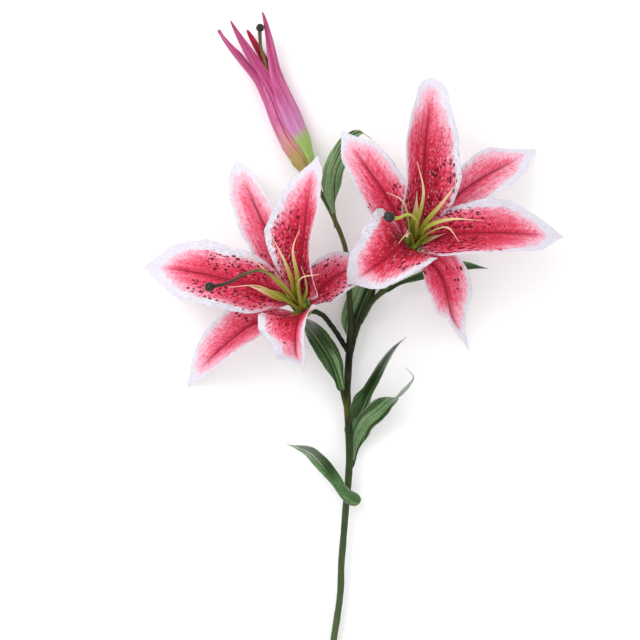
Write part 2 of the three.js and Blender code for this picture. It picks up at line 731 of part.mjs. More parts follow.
function stemPiece() {
  const main = stalk({
    points: stem.main.map(vector),
    radius: (share) => byStops(stem.radius, share),
    sides: 10,
    steps: 48,
  });
  const [left, right] = blooms.map(seatOf);
  const stubs = leaves.filter(({ from }) => from).map(({ from, points }) => {
    const [start, second] = points.slice(0, 2).map(vector);
    const ahead = second.clone().sub(start).normalize();
    const end = start.clone().addScaledVector(ahead, -seatGap);
    const before = end.clone().addScaledVector(ahead, -2);
    const [wide, narrow] = stem.stubRadius;
    return stalk({
      points: [vector(from), before, end],
      radius: (share) => mix(wide, narrow, share),
      sides: 7,
      steps: 5,
    });
  });
  const budFoot = budFrame()(0);
  const budSeat = stalk({
    points: [
      budFoot.middle.clone().addScaledVector(budFoot.tangent, -6),
      budFoot.middle.clone().addScaledVector(budFoot.tangent, -3),
      budFoot.middle.clone().addScaledVector(budFoot.tangent, -seatGap),
    ],
    radius: (share) => mix(1.6, budSeatRadius + 2, share),
    sides: 12,
    steps: 4,
  });
  return meshOf(
    "stem",
    fused([
      main,
      ...bloomStalk(left, stem.left, receptacleRadius, stem.stalkRadius),
      ...bloomStalk(right, stem.right, receptacleRadius, stem.stalkRadius),
      budSeat,
      ...stubs,
    ]),
    colours.stem,
    0.55,
  );
}

const lily = new THREE.Group();
lily.add(stemPiece());
for (const bloom of blooms) {
  const seat = seatOf(bloom);
  for (const spec of bloom.tepals) lily.add(tepal(bloom, seat, spec));
  lily.add(stamens(bloom, seat), pistil(bloom, seat));
}
for (const spec of bud.staves) lily.add(stave(spec));
lily.add(budPistil());
for (const spec of leaves) lily.add(leaf(spec));

export default lily;
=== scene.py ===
import functools
import math

import bpy
import numpy as np
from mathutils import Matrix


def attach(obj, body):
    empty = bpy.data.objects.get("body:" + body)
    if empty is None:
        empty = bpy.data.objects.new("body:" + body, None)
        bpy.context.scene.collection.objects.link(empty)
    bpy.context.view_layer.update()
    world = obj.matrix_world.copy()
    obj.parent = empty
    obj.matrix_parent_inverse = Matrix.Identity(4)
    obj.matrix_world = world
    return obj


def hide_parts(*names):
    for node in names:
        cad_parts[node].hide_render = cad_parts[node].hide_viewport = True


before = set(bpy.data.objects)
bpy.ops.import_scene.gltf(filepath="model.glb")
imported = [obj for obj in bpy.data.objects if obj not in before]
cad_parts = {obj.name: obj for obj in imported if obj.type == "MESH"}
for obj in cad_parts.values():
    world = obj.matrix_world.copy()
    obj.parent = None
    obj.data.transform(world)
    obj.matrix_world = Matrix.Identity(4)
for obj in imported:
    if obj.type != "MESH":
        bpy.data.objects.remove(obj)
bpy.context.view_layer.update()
print("frame loaded:", len(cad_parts), "solids")

mm = 0.001


# Shapes

# 0 at low, 1 at high, x * x * (3 - 2x) between them; low may be the greater one
def smooth(low, high, x):
    x = np.clip((x - low) / (high - low), 0, 1)
    return x * x * (3 - 2 * x)


# a value that eases through (place, value) stops, by the smooth step between one stop and the next
def eased(stops, place):
    at, value = np.array(stops, float).T
    if len(at) == 1:
        return np.full(np.shape(place), value[0])
    k = np.clip(np.searchsorted(at, place), 1, len(at) - 1)
    return value[k - 1] + (value[k] - value[k - 1]) * smooth(at[k - 1], at[k], place)


# low at x = 0, high at x = 1, a straight line between
def mix(low, high, x):
    return low + (high - low) * x


# vectors divided by their length
def unit(v):
    return v / np.maximum(np.linalg.norm(v, axis=-1, keepdims=True), 1e-12)


# several sine waves with seeded phases, each shorter and lower than the one before; about -1 to 1
def drift(x, seed, waves=4):
    rng = np.random.default_rng(seed)
    turns = rng.uniform(0, 2 * math.pi, waves)
    return sum(np.sin(x * 1.9**k + turns[k]) * 0.62**k for k in range(waves)) / 1.6


# Catmull-Rom cubics through the points, read at shares of the length: places, tangents and the length
def route(points, shares):
    points = np.array(points, float)
    line = np.vstack([2 * points[0] - points[1], points, 2 * points[-1] - points[-2]])
    before, start, end, after = (line[k : len(line) - 3 + k, None] for k in range(4))
    t = np.linspace(0, 1, 60, endpoint=False)[None, :, None]
    cubic = (
        2 * start
        + (end - before) * t
        + (2 * before - 5 * start + 4 * end - after) * t**2
        + (3 * start - before - 3 * end + after) * t**3
    ) / 2
    cubic = np.vstack([cubic.reshape(-1, 3), points[-1]])
    walked = np.concatenate([[0], np.cumsum(np.linalg.norm(np.diff(cubic, axis=0), axis=1))])
    at = np.asarray(shares) * walked[-1]
    slopes = np.gradient(cubic, walked, axis=0)
    places = np.stack([np.interp(at, walked, cubic[:, k]) for k in range(3)], axis=-1)
    tangents = np.stack([np.interp(at, walked, slopes[:, k]) for k in range(3)], axis=-1)
    return places, unit(tangents), walked[-1]


# sides square to the tangents, kept from twisting: each is the last one made square to the new tangent
def carriedSides(tangents, first):
    sides = [unit(first - tangents[0] * (first @ tangents[0]))]
    for tangent in tangents[1:]:
        sides.append(unit(sides[-1] - tangent * (sides[-1] @ tangent)))
    return np.array(sides)


# rings round a route: place + side * across * cos(turn) + face * deep * sin(turn), never below the table
def stalkRings(points, radius, around=16, steps=60, left=None, relief=None):
    shares = np.linspace(0, 1, steps + 1)
    places, tangents, length = route(points, shares)
    if left is None:
        sides = carriedSides(tangents, np.array([1.0, 0.3, 0.2]))
    else:
        sides = unit(left - tangents * (tangents @ left)[:, None])
    faces = np.cross(tangents, sides)
    turn = np.linspace(0, 2 * math.pi, around, endpoint=False)[None, :]
    across, deep = radius(shares)
    swell = 1 if relief is None else 1 + relief(shares[:, None], turn) / np.maximum(across, deep)[:, None]
    rings = (
        places[:, None]
        + sides[:, None] * (across[:, None] * np.cos(turn) * swell)[..., None]
        + faces[:, None] * (deep[:, None] * np.sin(turn) * swell)[..., None]
    )
    rings[..., 2] = np.maximum(rings[..., 2], 0)
    flat = np.stack(
        np.broadcast_arrays(across[:, None] * turn, shares[:, None] * length, shares[:, None]), -1
    )
    return rings, flat


# one mesh from closed skins: quads from ring to ring, and each end closed in strips across its ring.
# fields holds, for each attribute, one (rings, around, 3) array a skin
def skinMesh(name, skins, fields, material):
    quads = []
    first = 0
    for rings in skins:
        count, around = rings.shape[:2]
        here = np.arange(count * around).reshape(count, around) + first
        beside = np.roll(here, -1, axis=1)
        quads.append(np.stack([here[:-1], beside[:-1], beside[1:], here[1:]], -1).reshape(-1, 4))
        low = np.arange(around // 2 - 1)
        strip = np.stack([low, around - 1 - low, around - 2 - low, low + 1], -1)
        quads.append(here[0][strip])
        quads.append(here[-1][strip[:, ::-1]])
        first += count * around
    mesh = bpy.data.meshes.new(name)
    places = np.vstack([rings.reshape(-1, 3) for rings in skins]) * mm
    mesh.from_pydata(places.tolist(), [], np.vstack(quads).tolist())
    for field, parts in fields.items():
        values = np.vstack([part.reshape(-1, 3) for part in parts]).astype(np.float32)
        mesh.attributes.new(field, "FLOAT_VECTOR", "POINT").data.foreach_set("vector", values.ravel())
    mesh.polygons.foreach_set("use_smooth", [True] * len(mesh.polygons))
    mesh.materials.append(material)
    piece = bpy.data.objects.new(name, mesh)
    bpy.context.scene.collection.objects.link(piece)
    return piece


# hands a piece over: it rides with the spray and stands for its solid
def settle(piece, node):
    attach(piece, "root")
    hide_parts(node)


# Materials

# sRGB hex to linear light: c / 12.92 in the darkest part, ((c + 0.055) / 1.055) ** 2.4 above it
def linear(colour):
    parts = [int(colour[k : k + 2], 16) / 255 for k in (0, 2, 4)]
    return [c / 12.92 if c <= 0.04045 else ((c + 0.055) / 1.055) ** 2.4 for c in parts] + [1]


# short names for the nodes that are used most: Blender's name and the settings that go with it
nodeKinds = {
    "absolute": ("Math", {"operation": "ABSOLUTE"}),
    "minus": ("Math", {"operation": "SUBTRACT"}),
    "times": ("Math", {"operation": "MULTIPLY"}),
    "timesPlus": ("Math", {"operation": "MULTIPLY_ADD"}),
    "lessThan": ("Math", {"operation": "LESS_THAN"}),
    "vectorTimesPlus": ("VectorMath", {"operation": "MULTIPLY_ADD"}),
    "smooth": ("MapRange", {"interpolation_type": "SMOOTHSTEP"}),  # value, from low, to high, then its ends
    "laid": ("Mix", {"data_type": "RGBA"}),  # factor, the colour under, the colour over
    "ramp": ("ValToRGB", {}),
}


# Adds a node with its settings and links. inputs fill the open sockets in order, and named those of that
# name: a node goes in by its first open output, and a hex string as linear light. stops are a colour ramp's.
def addNode(tree, kind, *inputs, named={}, stops=(), **settings):
    blenderName, preset = nodeKinds.get(kind, (kind, {}))
    node = tree.nodes.new("ShaderNode" + blenderName)
    for key, value in {**preset, **settings}.items():
        setattr(node, key, value)
    for k, (position, colour) in enumerate(stops):
        element = node.color_ramp.elements[k] if k < 2 else node.color_ramp.elements.new(position)
        element.position = position
        element.color = linear(colour)
    sockets = [s for s in node.inputs if s.enabled]
    for socket, value in [*zip(sockets, inputs), *((s, named[s.name]) for s in sockets if s.name in named)]:
        if isinstance(value, str):
            value = linear(value)
        if isinstance(value, bpy.types.Node):
            value = next(s for s in value.outputs if s.enabled)
        if isinstance(value, bpy.types.NodeSocket):
            tree.links.new(value, socket)
        else:
            socket.default_value = value
    return node


# an empty material, and what adds a node to it
def startMaterial(name):
    material = bpy.data.materials.new(name)
    material.use_nodes = True
    material.node_tree.nodes.clear()
    return material, functools.partial(addNode, material.node_tree)


# colour and relief go into one principled shader, with a relief of so many mm, and that to the output
def endMaterial(node, colour, height, relief, strength=0.8, **sockets):
    bump = node("Bump", named={"Height": height, "Strength": strength, "Distance": relief * mm})
    finish = {key.replace("_", " "): value for key, value in sockets.items()}
    node("OutputMaterial", node("BsdfPrincipled", named={"Base Color": colour, "Normal": bump, **finish}))


# A blade's own numbers, three to an attribute. flat: mm across from the midrib, mm along from the foot and
# mm in from the edge. place: share of the length, 1 on the front and 0 on the back, and how strongly it shows
# its beads or veins. print: what its painter worked out.
def bladeFields(node):
    read = [node("Attribute", attribute_name=name).outputs["Vector"] for name in ("flat", "place", "print")]
    return [node("SeparateXYZ", field).outputs for field in read]


# noise stretched along the second coordinate: scale is one over the millimetres of a feature each way
def stretched(node, at, scale, detail=4, roughness=0.6):
    return node("TexNoise", node("Mapping", at, named={"Scale": scale}), 1, detail, roughness)


# scattered cells: the distance from the middle of the nearest one, and its three random numbers
def scattered(node, at, randomness=1):
    cells = node("TexVoronoi", at, 1, named={"Randomness": randomness}, voronoi_dimensions="2D")
    return cells.outputs["Distance"], node("SeparateColor", cells.outputs["Color"]).outputs


# start + the sum of every part times its weight
def total(node, start, *parts):
    for part, weight in parts:
        start = node("timesPlus", part, weight, start)
    return start


# Polyester satin, heat-pressed over wire and printed: soft broad highlights, feathered print edges.
# The spots are about 1.3 x 2 mm, near the least that shows from this far.
tepalPrint = {
    "stroke": (0.75, 0.13, 1),  # one over the mm of a brush stroke, across it and along it
    "fibre": (1.5, 0.3, 1),
    "mottle": (0.5, 0.26, 1),
    "broad": (0.13, 0.09, 1),  # the slow wander of the print's edge
    "grain": (0.34, 0.028, 1),  # lengthwise streaks of the cloth
    "vein": (0.62, 0.03, 1),
    "wander": (4.2, 5.5, 2.4, 3.0),  # mm that strokes, broad, fibres and mottle carry the white in and out
    "deepens": (0.5, 0.34),  # how much deeper the print gets towards the foot and inwards
    "streaks": (0.7, 0.6, 0.6, 0.7),  # how much strokes, fibres, mottle and grain deepen it
    "toneShift": -1.45,  # brings the sum to the ramp, 0 palest and 1 deepest
    "spotCell": (1 / 2.4, 1 / 4.0, 1),  # one over the mm from spot to spot, across and along
    "spotBend": (0.9, 0.5, 0),  # shares of a cell that the mottling pushes a spot
    "beadCell": (1 / 1.9, 1 / 3.1, 1),  # one over the mm from one raised pale bead to the next
    "white": "DEDBE5",
    "shade": "D2CBDA",  # painted shade mottled over the white margin
    "blush": "DDA3BE",  # white turns this pink towards the foot
    "body": [  # the ends of the ramp come first
        (0.0, "EFB9CA"), (1.0, "760918"), (0.16, "ED8CA3"),
        (0.34, "E6647F"), (0.52, "D93B58"), (0.74, "BA1C36"),
    ],
    "band": "A71B35",  # soft, beside the midrib
    "rib": "76122D",  # thin, in the midrib's furrow
    # pale print on the raised beads, with a painted highlight
    "bead": "F39AAF",
    "shadedNet": "A11229",  # painted shade between the beads
    "spot": "590A20",
    "back": "E9D8DF",
    "backVein": "D9B3C3",
    "backFoot": "C9CE9E",
    "foot": "8CA13B",
}


# white cloth, and over it the print, which starts where the inset plus the noises is past their mean
def makeTepalMaterial():
    v = tepalPrint
    material, node = startMaterial("printedSatin")
    (across, along, _), (share, front, beadField), (inset, spotField, depth) = bladeFields(node)
    far = node("absolute", across)

    # brush strokes run outwards and towards the tip: noise along (along - far), stretched along far
    strokeAt = node("CombineXYZ", node("timesPlus", far, -1, along), far)
    flatAt = node("CombineXYZ", across, along)
    strokes = stretched(node, strokeAt, v["stroke"], 3, 0.7)
    fibres = stretched(node, strokeAt, v["fibre"], 3, 0.7)
    mottle = stretched(node, flatAt, v["mottle"], 4, 0.75)
    broad = stretched(node, flatAt, v["broad"], 3)
    grain = stretched(node, flatAt, v["grain"], 3)

    # how far inside the print a place is: the painter's inset, moved by the noises, whose mean is 1/2
    inside = total(node, inset, *zip((strokes, broad, fibres, mottle), v["wander"]))
    still = sum(v["wander"]) / 2
    printed = node("smooth", inside, still - 1.3, still + 1.2)
    settled = node("smooth", inside, still, still + 8, 0, 0.2)

    # body colour: deeper inwards and towards the foot, streaked by strokes, fibres, mottling and grain
    streaks = zip((strokes, fibres, mottle, grain), v["streaks"])
    body = node("ramp", total(node, depth, (settled, 1), *streaks, (1, v["toneShift"])), stops=v["body"])

    # soft dark band beside the midrib, and the thin dark line in its furrow: mm that the fibres shift it,
    # mm where it ends and is full, its strength, and the shares of the length where it ends and is full
    lines = ("band", 3.0, 5.6, 1.6, 0.55, 0.96, 0.45), ("rib", 1.3, 1.9, 0.8, 0.75, 0.9, 0.6)
    for colour, shift, ends, full, most, lastShare, fullShare in lines:
        line = node("smooth", node("timesPlus", fibres, shift, far), ends, full, 0, most)
        line = node("times", line, node("smooth", share, lastShare, fullShare))
        body = node("laid", line, body, v[colour])

    # raised beads, pale in print and with a painted highlight, in a darker net of painted shade between them,
    # thickest on the lower half and away from the midrib
    beaded = node("times", node("smooth", far, 1, 4), node("smooth", share, 0.95, 0.4))
    beaded = node("times", beaded, beadField)
    reach, draw = scattered(node, node("Mapping", flatAt, named={"Scale": v["beadCell"]}), 0.85)
    size = node("smooth", draw[0], 0.2, 1, 0, 0.42)
    bead = node("times", node("smooth", node("minus", size, reach), -0.16, 0.14), beaded)
    shadedNet = node("times", node("smooth", reach, 0.3, 0.7, 0, 0.6), beaded)
    shown = node("times", bead, node("smooth", mottle, 0.32, 0.6, 0, 0.62))
    body = node("laid", shown, node("laid", shadedNet, body, v["shadedNet"]), v["bead"])

    # painted shade: the white is mottled with greyish lilac, as shadows in its folds
    white = node("laid", node("smooth", mottle, 0.4, 0.75), v["white"], v["shade"])
    white = node("laid", node("smooth", share, 0.4, 0.1, 0, 0.65), white, v["blush"])
    colour = node("laid", printed, white, body)

    # dark spots: one in a cell at most, and its size and whether it is there are drawn at random
    spotAt = node("Mapping", flatAt, named={"Scale": v["spotCell"]})
    reach, draw = scattered(node, node("vectorTimesPlus", mottle.outputs["Color"], v["spotBend"], spotAt))
    size = total(node, -0.05, (draw[1], 0.3), (mottle, 0.42))
    spot = node("smooth", node("minus", size, reach), -0.05, 0.07, 0, 0.92)
    colour = node("laid", node("times", spot, node("lessThan", draw[0], spotField)), colour, v["spot"])
    colour = node("laid", node("smooth", share, 0.1, 0.03), colour, v["foot"])

    # the back shows the print only faintly, and is greenish near the foot
    back = node("laid", node("smooth", grain, 0.42, 0.68, 0, 0.4), v["back"], v["backVein"])
    back = node("laid", node("times", printed, 0.2), back, body)
    back = node("laid", node("smooth", share, 0.3, 0.05, 0, 0.7), back, v["backFoot"])
    colour = node("laid", front, back, colour)

    # relief: lengthwise veins, the beads, the fibres and the grain
    height = total(node, stretched(node, flatAt, v["vein"], 3), (bead, 0.7), (fibres, 0.3), (grain, 0.8))
    endMaterial(node, colour, height, 1.3, 0.9, Roughness=0.6, Specular_IOR_Level=0.12)
    return material


# Polyester satin pressed with parallel veins: dark and slightly glossy above, sage and dull below.
# The real veins are about 0.6 mm apart, too fine to show from here, so they are drawn about 2 mm apart.
leafPrint = {
    "vein": (0.62, 0.008, 1),  # one over the mm of a vein, across it and along it
    "patch": (0.28, 0.05, 1),
    "fine": (1.6, 0.3, 1),
    "speckle": (0.9, 0.7, 1),
    "hair": (1.5, 0.03, 1),  # bare threads at the worn ends
    "uneven": (0.7, 0.6, 0.65),  # how much patches, fine grain and speckle lighten the green
    "toneShift": -0.975,
    "green": [(0.0, "132509"), (1.0, "95B27F"), (0.3, "2C4620"), (0.52, "46653A"), (0.75, "6C8D60")],
    "light": "7F9B66",  # painted highlight on the raised veins
    "dark": "1E310E",  # painted shade in the sunk veins
    "pale": "BFC8B3",  # midrib and cut edge
    "under": "7D986A",
    "worn": "8A938B",  # grey cloth where the print is rubbed off
    "thread": "D1D5CF",
}


# green by the tint plus the noises, with the veins' painted highlight and shade, midrib, cut edges and
# worn ends laid over it
def makeLeafMaterial():
    v = leafPrint
    material, node = startMaterial("pressedLeafSatin")
    (across, along, edge), (share, front, veinField), (tint, ribStrength, frayed) = bladeFields(node)
    far = node("absolute", across)
    flatAt = node("CombineXYZ", across, along)
    patches = stretched(node, flatAt, v["patch"])
    fine = stretched(node, flatAt, v["fine"], 3, 0.7)
    speckle = stretched(node, flatAt, v["speckle"], 3, 0.75)
    veins = stretched(node, flatAt, v["vein"], 2, 0.5)
    hairs = stretched(node, flatAt, v["hair"], 2, 0.5)

    tone = total(node, tint, *zip((patches, fine, speckle), v["uneven"]), (1, v["toneShift"]))
    green = node("ramp", tone, stops=v["green"])
    # painted highlight along the raised veins and painted shade in the sunk ones, as strong as veinField
    raised = node("times", node("smooth", veins, 0.52, 0.68, 0, 0.5), veinField)
    shadedVeins = node("times", node("smooth", veins, 0.5, 0.36, 0, 0.75), veinField)
    rib = node("times", node("smooth", node("timesPlus", fine, 1.2, far), 1.1, 0.5), ribStrength)
    cut = node("times", node("smooth", edge, 0.5, 0.1, 0, 0.5), node("smooth", share, 0.05, 0.12))
    for mask, colour in ((raised, "light"), (shadedVeins, "dark"), (rib, "pale"), (cut, "pale")):
        green = node("laid", mask, green, v[colour])
    colour = node("laid", front, node("laid", 0.4, green, v["under"]), green)

    # worn ends, where the weave is bare and pale threads show
    colour = node("laid", node("times", frayed, 0.85), colour, v["worn"])
    colour = node("laid", node("times", node("smooth", hairs, 0.52, 0.6), frayed), colour, v["thread"])
    height = node("timesPlus", fine, 0.4, veins)
    endMaterial(node, colour, height, 0.7, Roughness=0.45, Specular_IOR_Level=0.18)
    return material


# Polyester satin printed mauve, with lengthwise pleats and a green foot.
budPrint = {
    "pleat": (0.32, 0.015, 1),  # one over the mm of a pleat, across it and along it
    "streak": (0.9, 0.05, 1),
    "fine": (2.2, 0.18, 1),
    "uneven": (1.5, 0.7, 0.6, -0.45),  # how much pleats, streaks, fine grain and the share lighten it
    "toneShift": -0.6,
    "body": [(0.0, "87214C"), (1.0, "E4ABC8"), (0.3, "AB396C"), (0.52, "BF5288"), (0.76, "D07CA7")],
    "lilac": "C283B6",
    "green": "9BB862",
    "greenStreak": "788D3E",
    "olive": "AF9259",  # the green of the warm side
    "salmon": "C5887F",
    "seamShade": "A14672",  # painted shade in the seams along the staves' edges
    "inside": "BA214B",
}


# mauve by the pleats and streaks, lilac and green towards the foot
def makeBudMaterial():
    v = budPrint
    material, node = startMaterial("printedBudSatin")
    (across, along, edge), (share, front, _), (greenTo, lilac, warm) = bladeFields(node)
    flatAt = node("CombineXYZ", across, along)
    pleats = stretched(node, flatAt, v["pleat"], 3)
    streaks = stretched(node, flatAt, v["streak"])
    fine = stretched(node, flatAt, v["fine"], 3, 0.7)

    tone = total(node, v["toneShift"], *zip((pleats, streaks, fine, share), v["uneven"]))
    colour = node("ramp", tone, stops=v["body"])
    # lilac towards the foot on the staves that carry it
    lilacShare = node("times", node("smooth", share, 0.66, 0.3, 0, 0.75), lilac)
    colour = node("laid", lilacShare, colour, v["lilac"])
    # green foot with a slanted, streaky upper end, and salmon above it on the warm side
    rise = node("minus", total(node, share, (across, -0.003), (streaks, 0.08)), greenTo)
    colour = node("laid", node("times", node("smooth", rise, 0.3, 0.06), warm), colour, v["salmon"])
    green = node("laid", warm, v["green"], v["olive"])
    green = node("laid", node("smooth", fine, 0.4, 0.7, 0, 0.35), green, v["greenStreak"])
    colour = node("laid", node("smooth", rise, 0.09, -0.03), colour, green)
    # painted shade: darker lines in the seams along the staves' edges
    colour = node("laid", node("smooth", edge, 0.7, 0.1, 0, 0.2), colour, v["seamShade"])
    colour = node("laid", front, v["inside"], colour)
    height = total(node, fine, (streaks, 1.5), (pleats, 2.5))
    endMaterial(node, colour, height, 0.8, Roughness=0.5, Specular_IOR_Level=0.3)
    return material


# Polyethylene moulded over wire: a satin skin with faint flow lines, darker where the stalks fork.
stemPlastic = {
    "heights": (-0.3, 0.2),  # m on the table, from the cut end to the bud, that climb spans
    "climb": [  # nearly black between 0.645 and 0.72, where the stalks part
        (0.0, "66744B"), (1.0, "44522A"), (0.2, "4C5E38"), (0.42, "38462A"), (0.55, "29351B"),
        (0.582, "222D17"), (0.604, "4B4C1E"), (0.622, "393B1F"), (0.645, "101208"), (0.72, "101208"),
        (0.79, "3E4A26"), (0.86, "5B5A32"), (0.93, "4A5630"),
    ],
    "flow": (900, 40, 900),  # one over the metres of a flow line, across it and along it
    "blotch": (60, 60, 60),
    "fresh": "627237",  # blotches
    "line": "1E2418",  # flow lines
    "throat": "839E39",  # receptacles
}


# a ramp along the stem, with blotches and flow lines laid over it
def makeStemMaterial():
    v = stemPlastic
    material, node = startMaterial("mouldedStalk")
    at = node("TexCoord").outputs["Object"]
    height = node("SeparateXYZ", at).outputs[1]
    throat = node("SeparateXYZ", node("Attribute", attribute_name="print").outputs["Vector"])
    flow = stretched(node, at, v["flow"], 4, 0.5)
    blotch = stretched(node, at, v["blotch"], 3, 0.5)
    green = node("ramp", node("MapRange", height, *v["heights"]), stops=v["climb"])
    green = node("laid", node("smooth", blotch, 0.4, 0.75, 0, 0.2), green, v["fresh"])
    green = node("laid", node("smooth", flow, 0.5, 0.75, 0, 0.4), green, v["line"])
    green = node("laid", throat, green, v["throat"])
    endMaterial(node, green, flow, 0.4, 0.5, Roughness=0.4, Specular_IOR_Level=0.12)
    return material


# Soft polyethylene, moulded thin: olive at the foot, paler and slightly pink at the tips.
filamentPlastic = {
    "name": "mouldedFilament",
    "flow": (1.2, 0.08, 3),  # one over the mm of a flow line, across it and along it
    "shift": 0.35,  # share of the length that the flow lines move the colours
    "colours": [(0.45, "9CBC42"), (1.0, "DDB692"), (0.74, "A6A942")],
    "strength": 0.4,
    "finish": {"Roughness": 0.42, "Subsurface_Weight": 0.1},
}

# Glossy lacquered plastic: an olive style that darkens to a near-black stigma with sharp highlights.
pistilPlastic = {
    "name": "lacqueredPistil",
    "flow": (1.5, 0.15, 3),
    "shift": 0.2,
    "colours": [(0.58, "A0A440"), (0.98, "1C1A0E"), (0.8, "524E22")],
    "strength": 0.3,
    "finish": {"Roughness": 0.14, "Specular_IOR_Level": 0.36},
}


# a moulded plastic whose colour runs along the piece, by the share of its length moved by the flow lines
def makePlasticMaterial(v):
    material, node = startMaterial(v["name"])
    flat = node("Attribute", attribute_name="flat").outputs["Vector"]
    flow = stretched(node, flat, v["flow"], 4, 0.5)
    share = node("timesPlus", flow, v["shift"], node("SeparateXYZ", flat).outputs[2])
    endMaterial(node, node("ramp", share, stops=v["colours"]), flow, 0.3, v["strength"], **v["finish"])
    return material


materials = {
    "tepal": makeTepalMaterial(),
    "leaf": makeLeafMaterial(),
    "bud": makeBudMaterial(),
    "stem": makeStemMaterial(),
    "filament": makePlasticMaterial(filamentPlastic),
    "pistil": makePlasticMaterial(pistilPlastic),
}
print("materials made:", len(materials))


# Blades: tepals and leaves

blades = dict(
    lengthCells=120, widthCells=44,
    thickness=0.42, edgeThickness=0.22,  # mm in the middle and at the margin
    petalHalf=27, sepalHalf=18.5, clawHalf=2.6,  # mm from the midrib to the edge, at the widest and the foot
    foldStep=3.3, furrowHalf=0.9,  # mm from one lengthwise fold to the next, and half the midrib's furrow
    patternStep=131.7,  # mm that each piece's pattern is moved on by, so that no two look alike
)


# half the width: a narrow claw that swells to half * belly, where
# belly = (share / widest) ** rise * ((1 - share) / (1 - widest)) ** point. The foot is rounded by a quarter
# circle as long as blunt, the end thins by share ** taper, and tip is added there.
def halfWidth(blade, share):
    widest, point = blade.get("widest", 0.5), blade.get("point", 1)
    rise = point * widest / (1 - widest)
    belly = (share / widest) ** rise * ((1 - share) / (1 - widest)) ** point
    heel = np.sqrt(1 - np.maximum(0, 1 - (share + 0.002) / blade.get("blunt", 0.01)) ** 2)
    claw = blade.get("claw", blades["clawHalf"])
    body = mix(claw, blade["half"] * belly, smooth(0, 0.3, share)) * heel
    return body * (1 - share ** blade.get("taper", 8)) + 0.3 + blade.get("tip", 0) * smooth(0.8, 1, share)


# The blade's middle surface on a (shares, sides) grid; sides run from 1, the left edge, to -1.
# Each half leaves the midrib at its slope and bends by its curl, as an arc of the half's width,
# and the margin is ruffled by a sine of the share that grows with the side to the power 2.4.
def bladeGrid(blade, shares, sides):
    places, tangents, length = route(blade["points"], shares)
    chord = np.array(blade["points"][-1]) - np.array(blade["points"][0])
    left = unit(np.cross(np.array(blade["up"], float), chord))
    opened = smooth(0.04, 0.38, shares)
    facing = mix(np.array(blade.get("rootLeft", left))[None], left[None], opened[:, None])
    side = unit(facing - tangents * np.sum(facing * tangents, axis=-1, keepdims=True))
    face = np.cross(tangents, side)
    roll, twist = blade.get("roll", (0, 0)), blade.get("twist", (0, 1, 0))
    turn = np.radians(opened * mix(*roll, shares) + twist[2] * smooth(*twist[:2], shares))[:, None]
    across = side * np.cos(turn) + face * np.sin(turn)
    inward = face * np.cos(turn) - side * np.sin(turn)
    ending = smooth(0.55, 1, shares)
    toTip = (1 - shares) * length / blade.get("roundTip", 0.4)
    rounding = np.sqrt(np.maximum(1 - np.maximum(0, 1 - toTip) ** 2, 0.003))
    ruffled = smooth(0.15, 0.4, shares)
    height, count, phases = blade["wave"]
    grid = np.zeros((len(shares), len(sides), 3))
    widths = np.zeros((len(shares), len(sides)))
    for which, half in enumerate((sides > 0, sides <= 0)):
        steep, curl = blade["slope"][which], blade["curl"][which]
        steep = eased(steep, shares) if isinstance(steep, (list, tuple)) else steep
        lean = np.radians(mix(mix(0, steep, opened), blade.get("tipSlope", (6, 6))[which], ending))[:, None]
        bend = np.radians(mix(mix(blade["root"], curl, opened), curl / 3, ending))[:, None]
        far = np.abs(sides[half])[None]
        reach = eased(blade.get("reach", ([(0, 1)], [(0, 1)]))[which], shares)
        uneven = 0.018 * drift(shares * 34, blade["seed"] + which)
        uneven += blade.get("scallop", 0) * drift(shares * 14, blade["seed"] + 3 + which, 2)
        width = (halfWidth(blade, shares) * reach * (1 + uneven * ruffled) * rounding)[:, None]
        out = width * (np.sin(lean + bend * far) - np.sin(lean)) / bend
        rise = width * (np.cos(lean) - np.cos(lean + bend * far)) / bend
        ruffle = height * np.sin(2 * math.pi * count * shares + phases[which])
        crimp = blade.get("crimp", 0.5) * drift(shares * 30, blade["seed"] + 5 + which)
        fade = ruffled * (1 - shares**5)
        raised = rise + fade[:, None] * (ruffle[:, None] * far**2.4 + crimp[:, None] * far**6)
        grid[:, half] = (
            places[:, None]
            + across[:, None] * (np.sign(sides[half])[None] * out)[..., None]
            + inward[:, None] * raised[..., None]
        )
        widths[:, half] = width
    return grid, widths, length


# the share of a fabric's print at a place: 0 to 1 in a window from low to high with soft ends
def window(x, low, high, soft):
    return smooth(low - soft, low + soft, x) * smooth(high + soft, high - soft, x)


# A tepal's print. inset: mm inside the white margin, which is thin at the foot and widest at the tip.
# spots: how likely a spot is there. depth: 0 pale to 1 deep, which grows inwards and towards the foot.
def paintTepal(blade, share, side, across, edge, length):
    left, right, fromTip = blade["margin"]
    margin = np.where(side > 0, left, right) * smooth(0.12, 0.5, share) * (1 + 0.8 * smooth(0.7, 1, share))
    inset = np.minimum(edge - margin, ((1 - share) * length - 1.5 * fromTip) * 0.55)
    spots = 0 * share
    for half, (low, high, near, chance) in zip((side > 0, side <= 0), blade["spots"]):
        field = window(share, low, high, 0.06) * smooth(near, near + 2, np.abs(across)) * chance
        spots = spots + np.where(half, field * smooth(-1.5, 1, inset), 0)
    footwards, inwards = tepalPrint["deepens"]
    depth = blade["deep"] * (footwards * smooth(0.95, 0, share) + inwards * smooth(0, 17, inset))
    return np.stack([inset, spots, depth], -1)
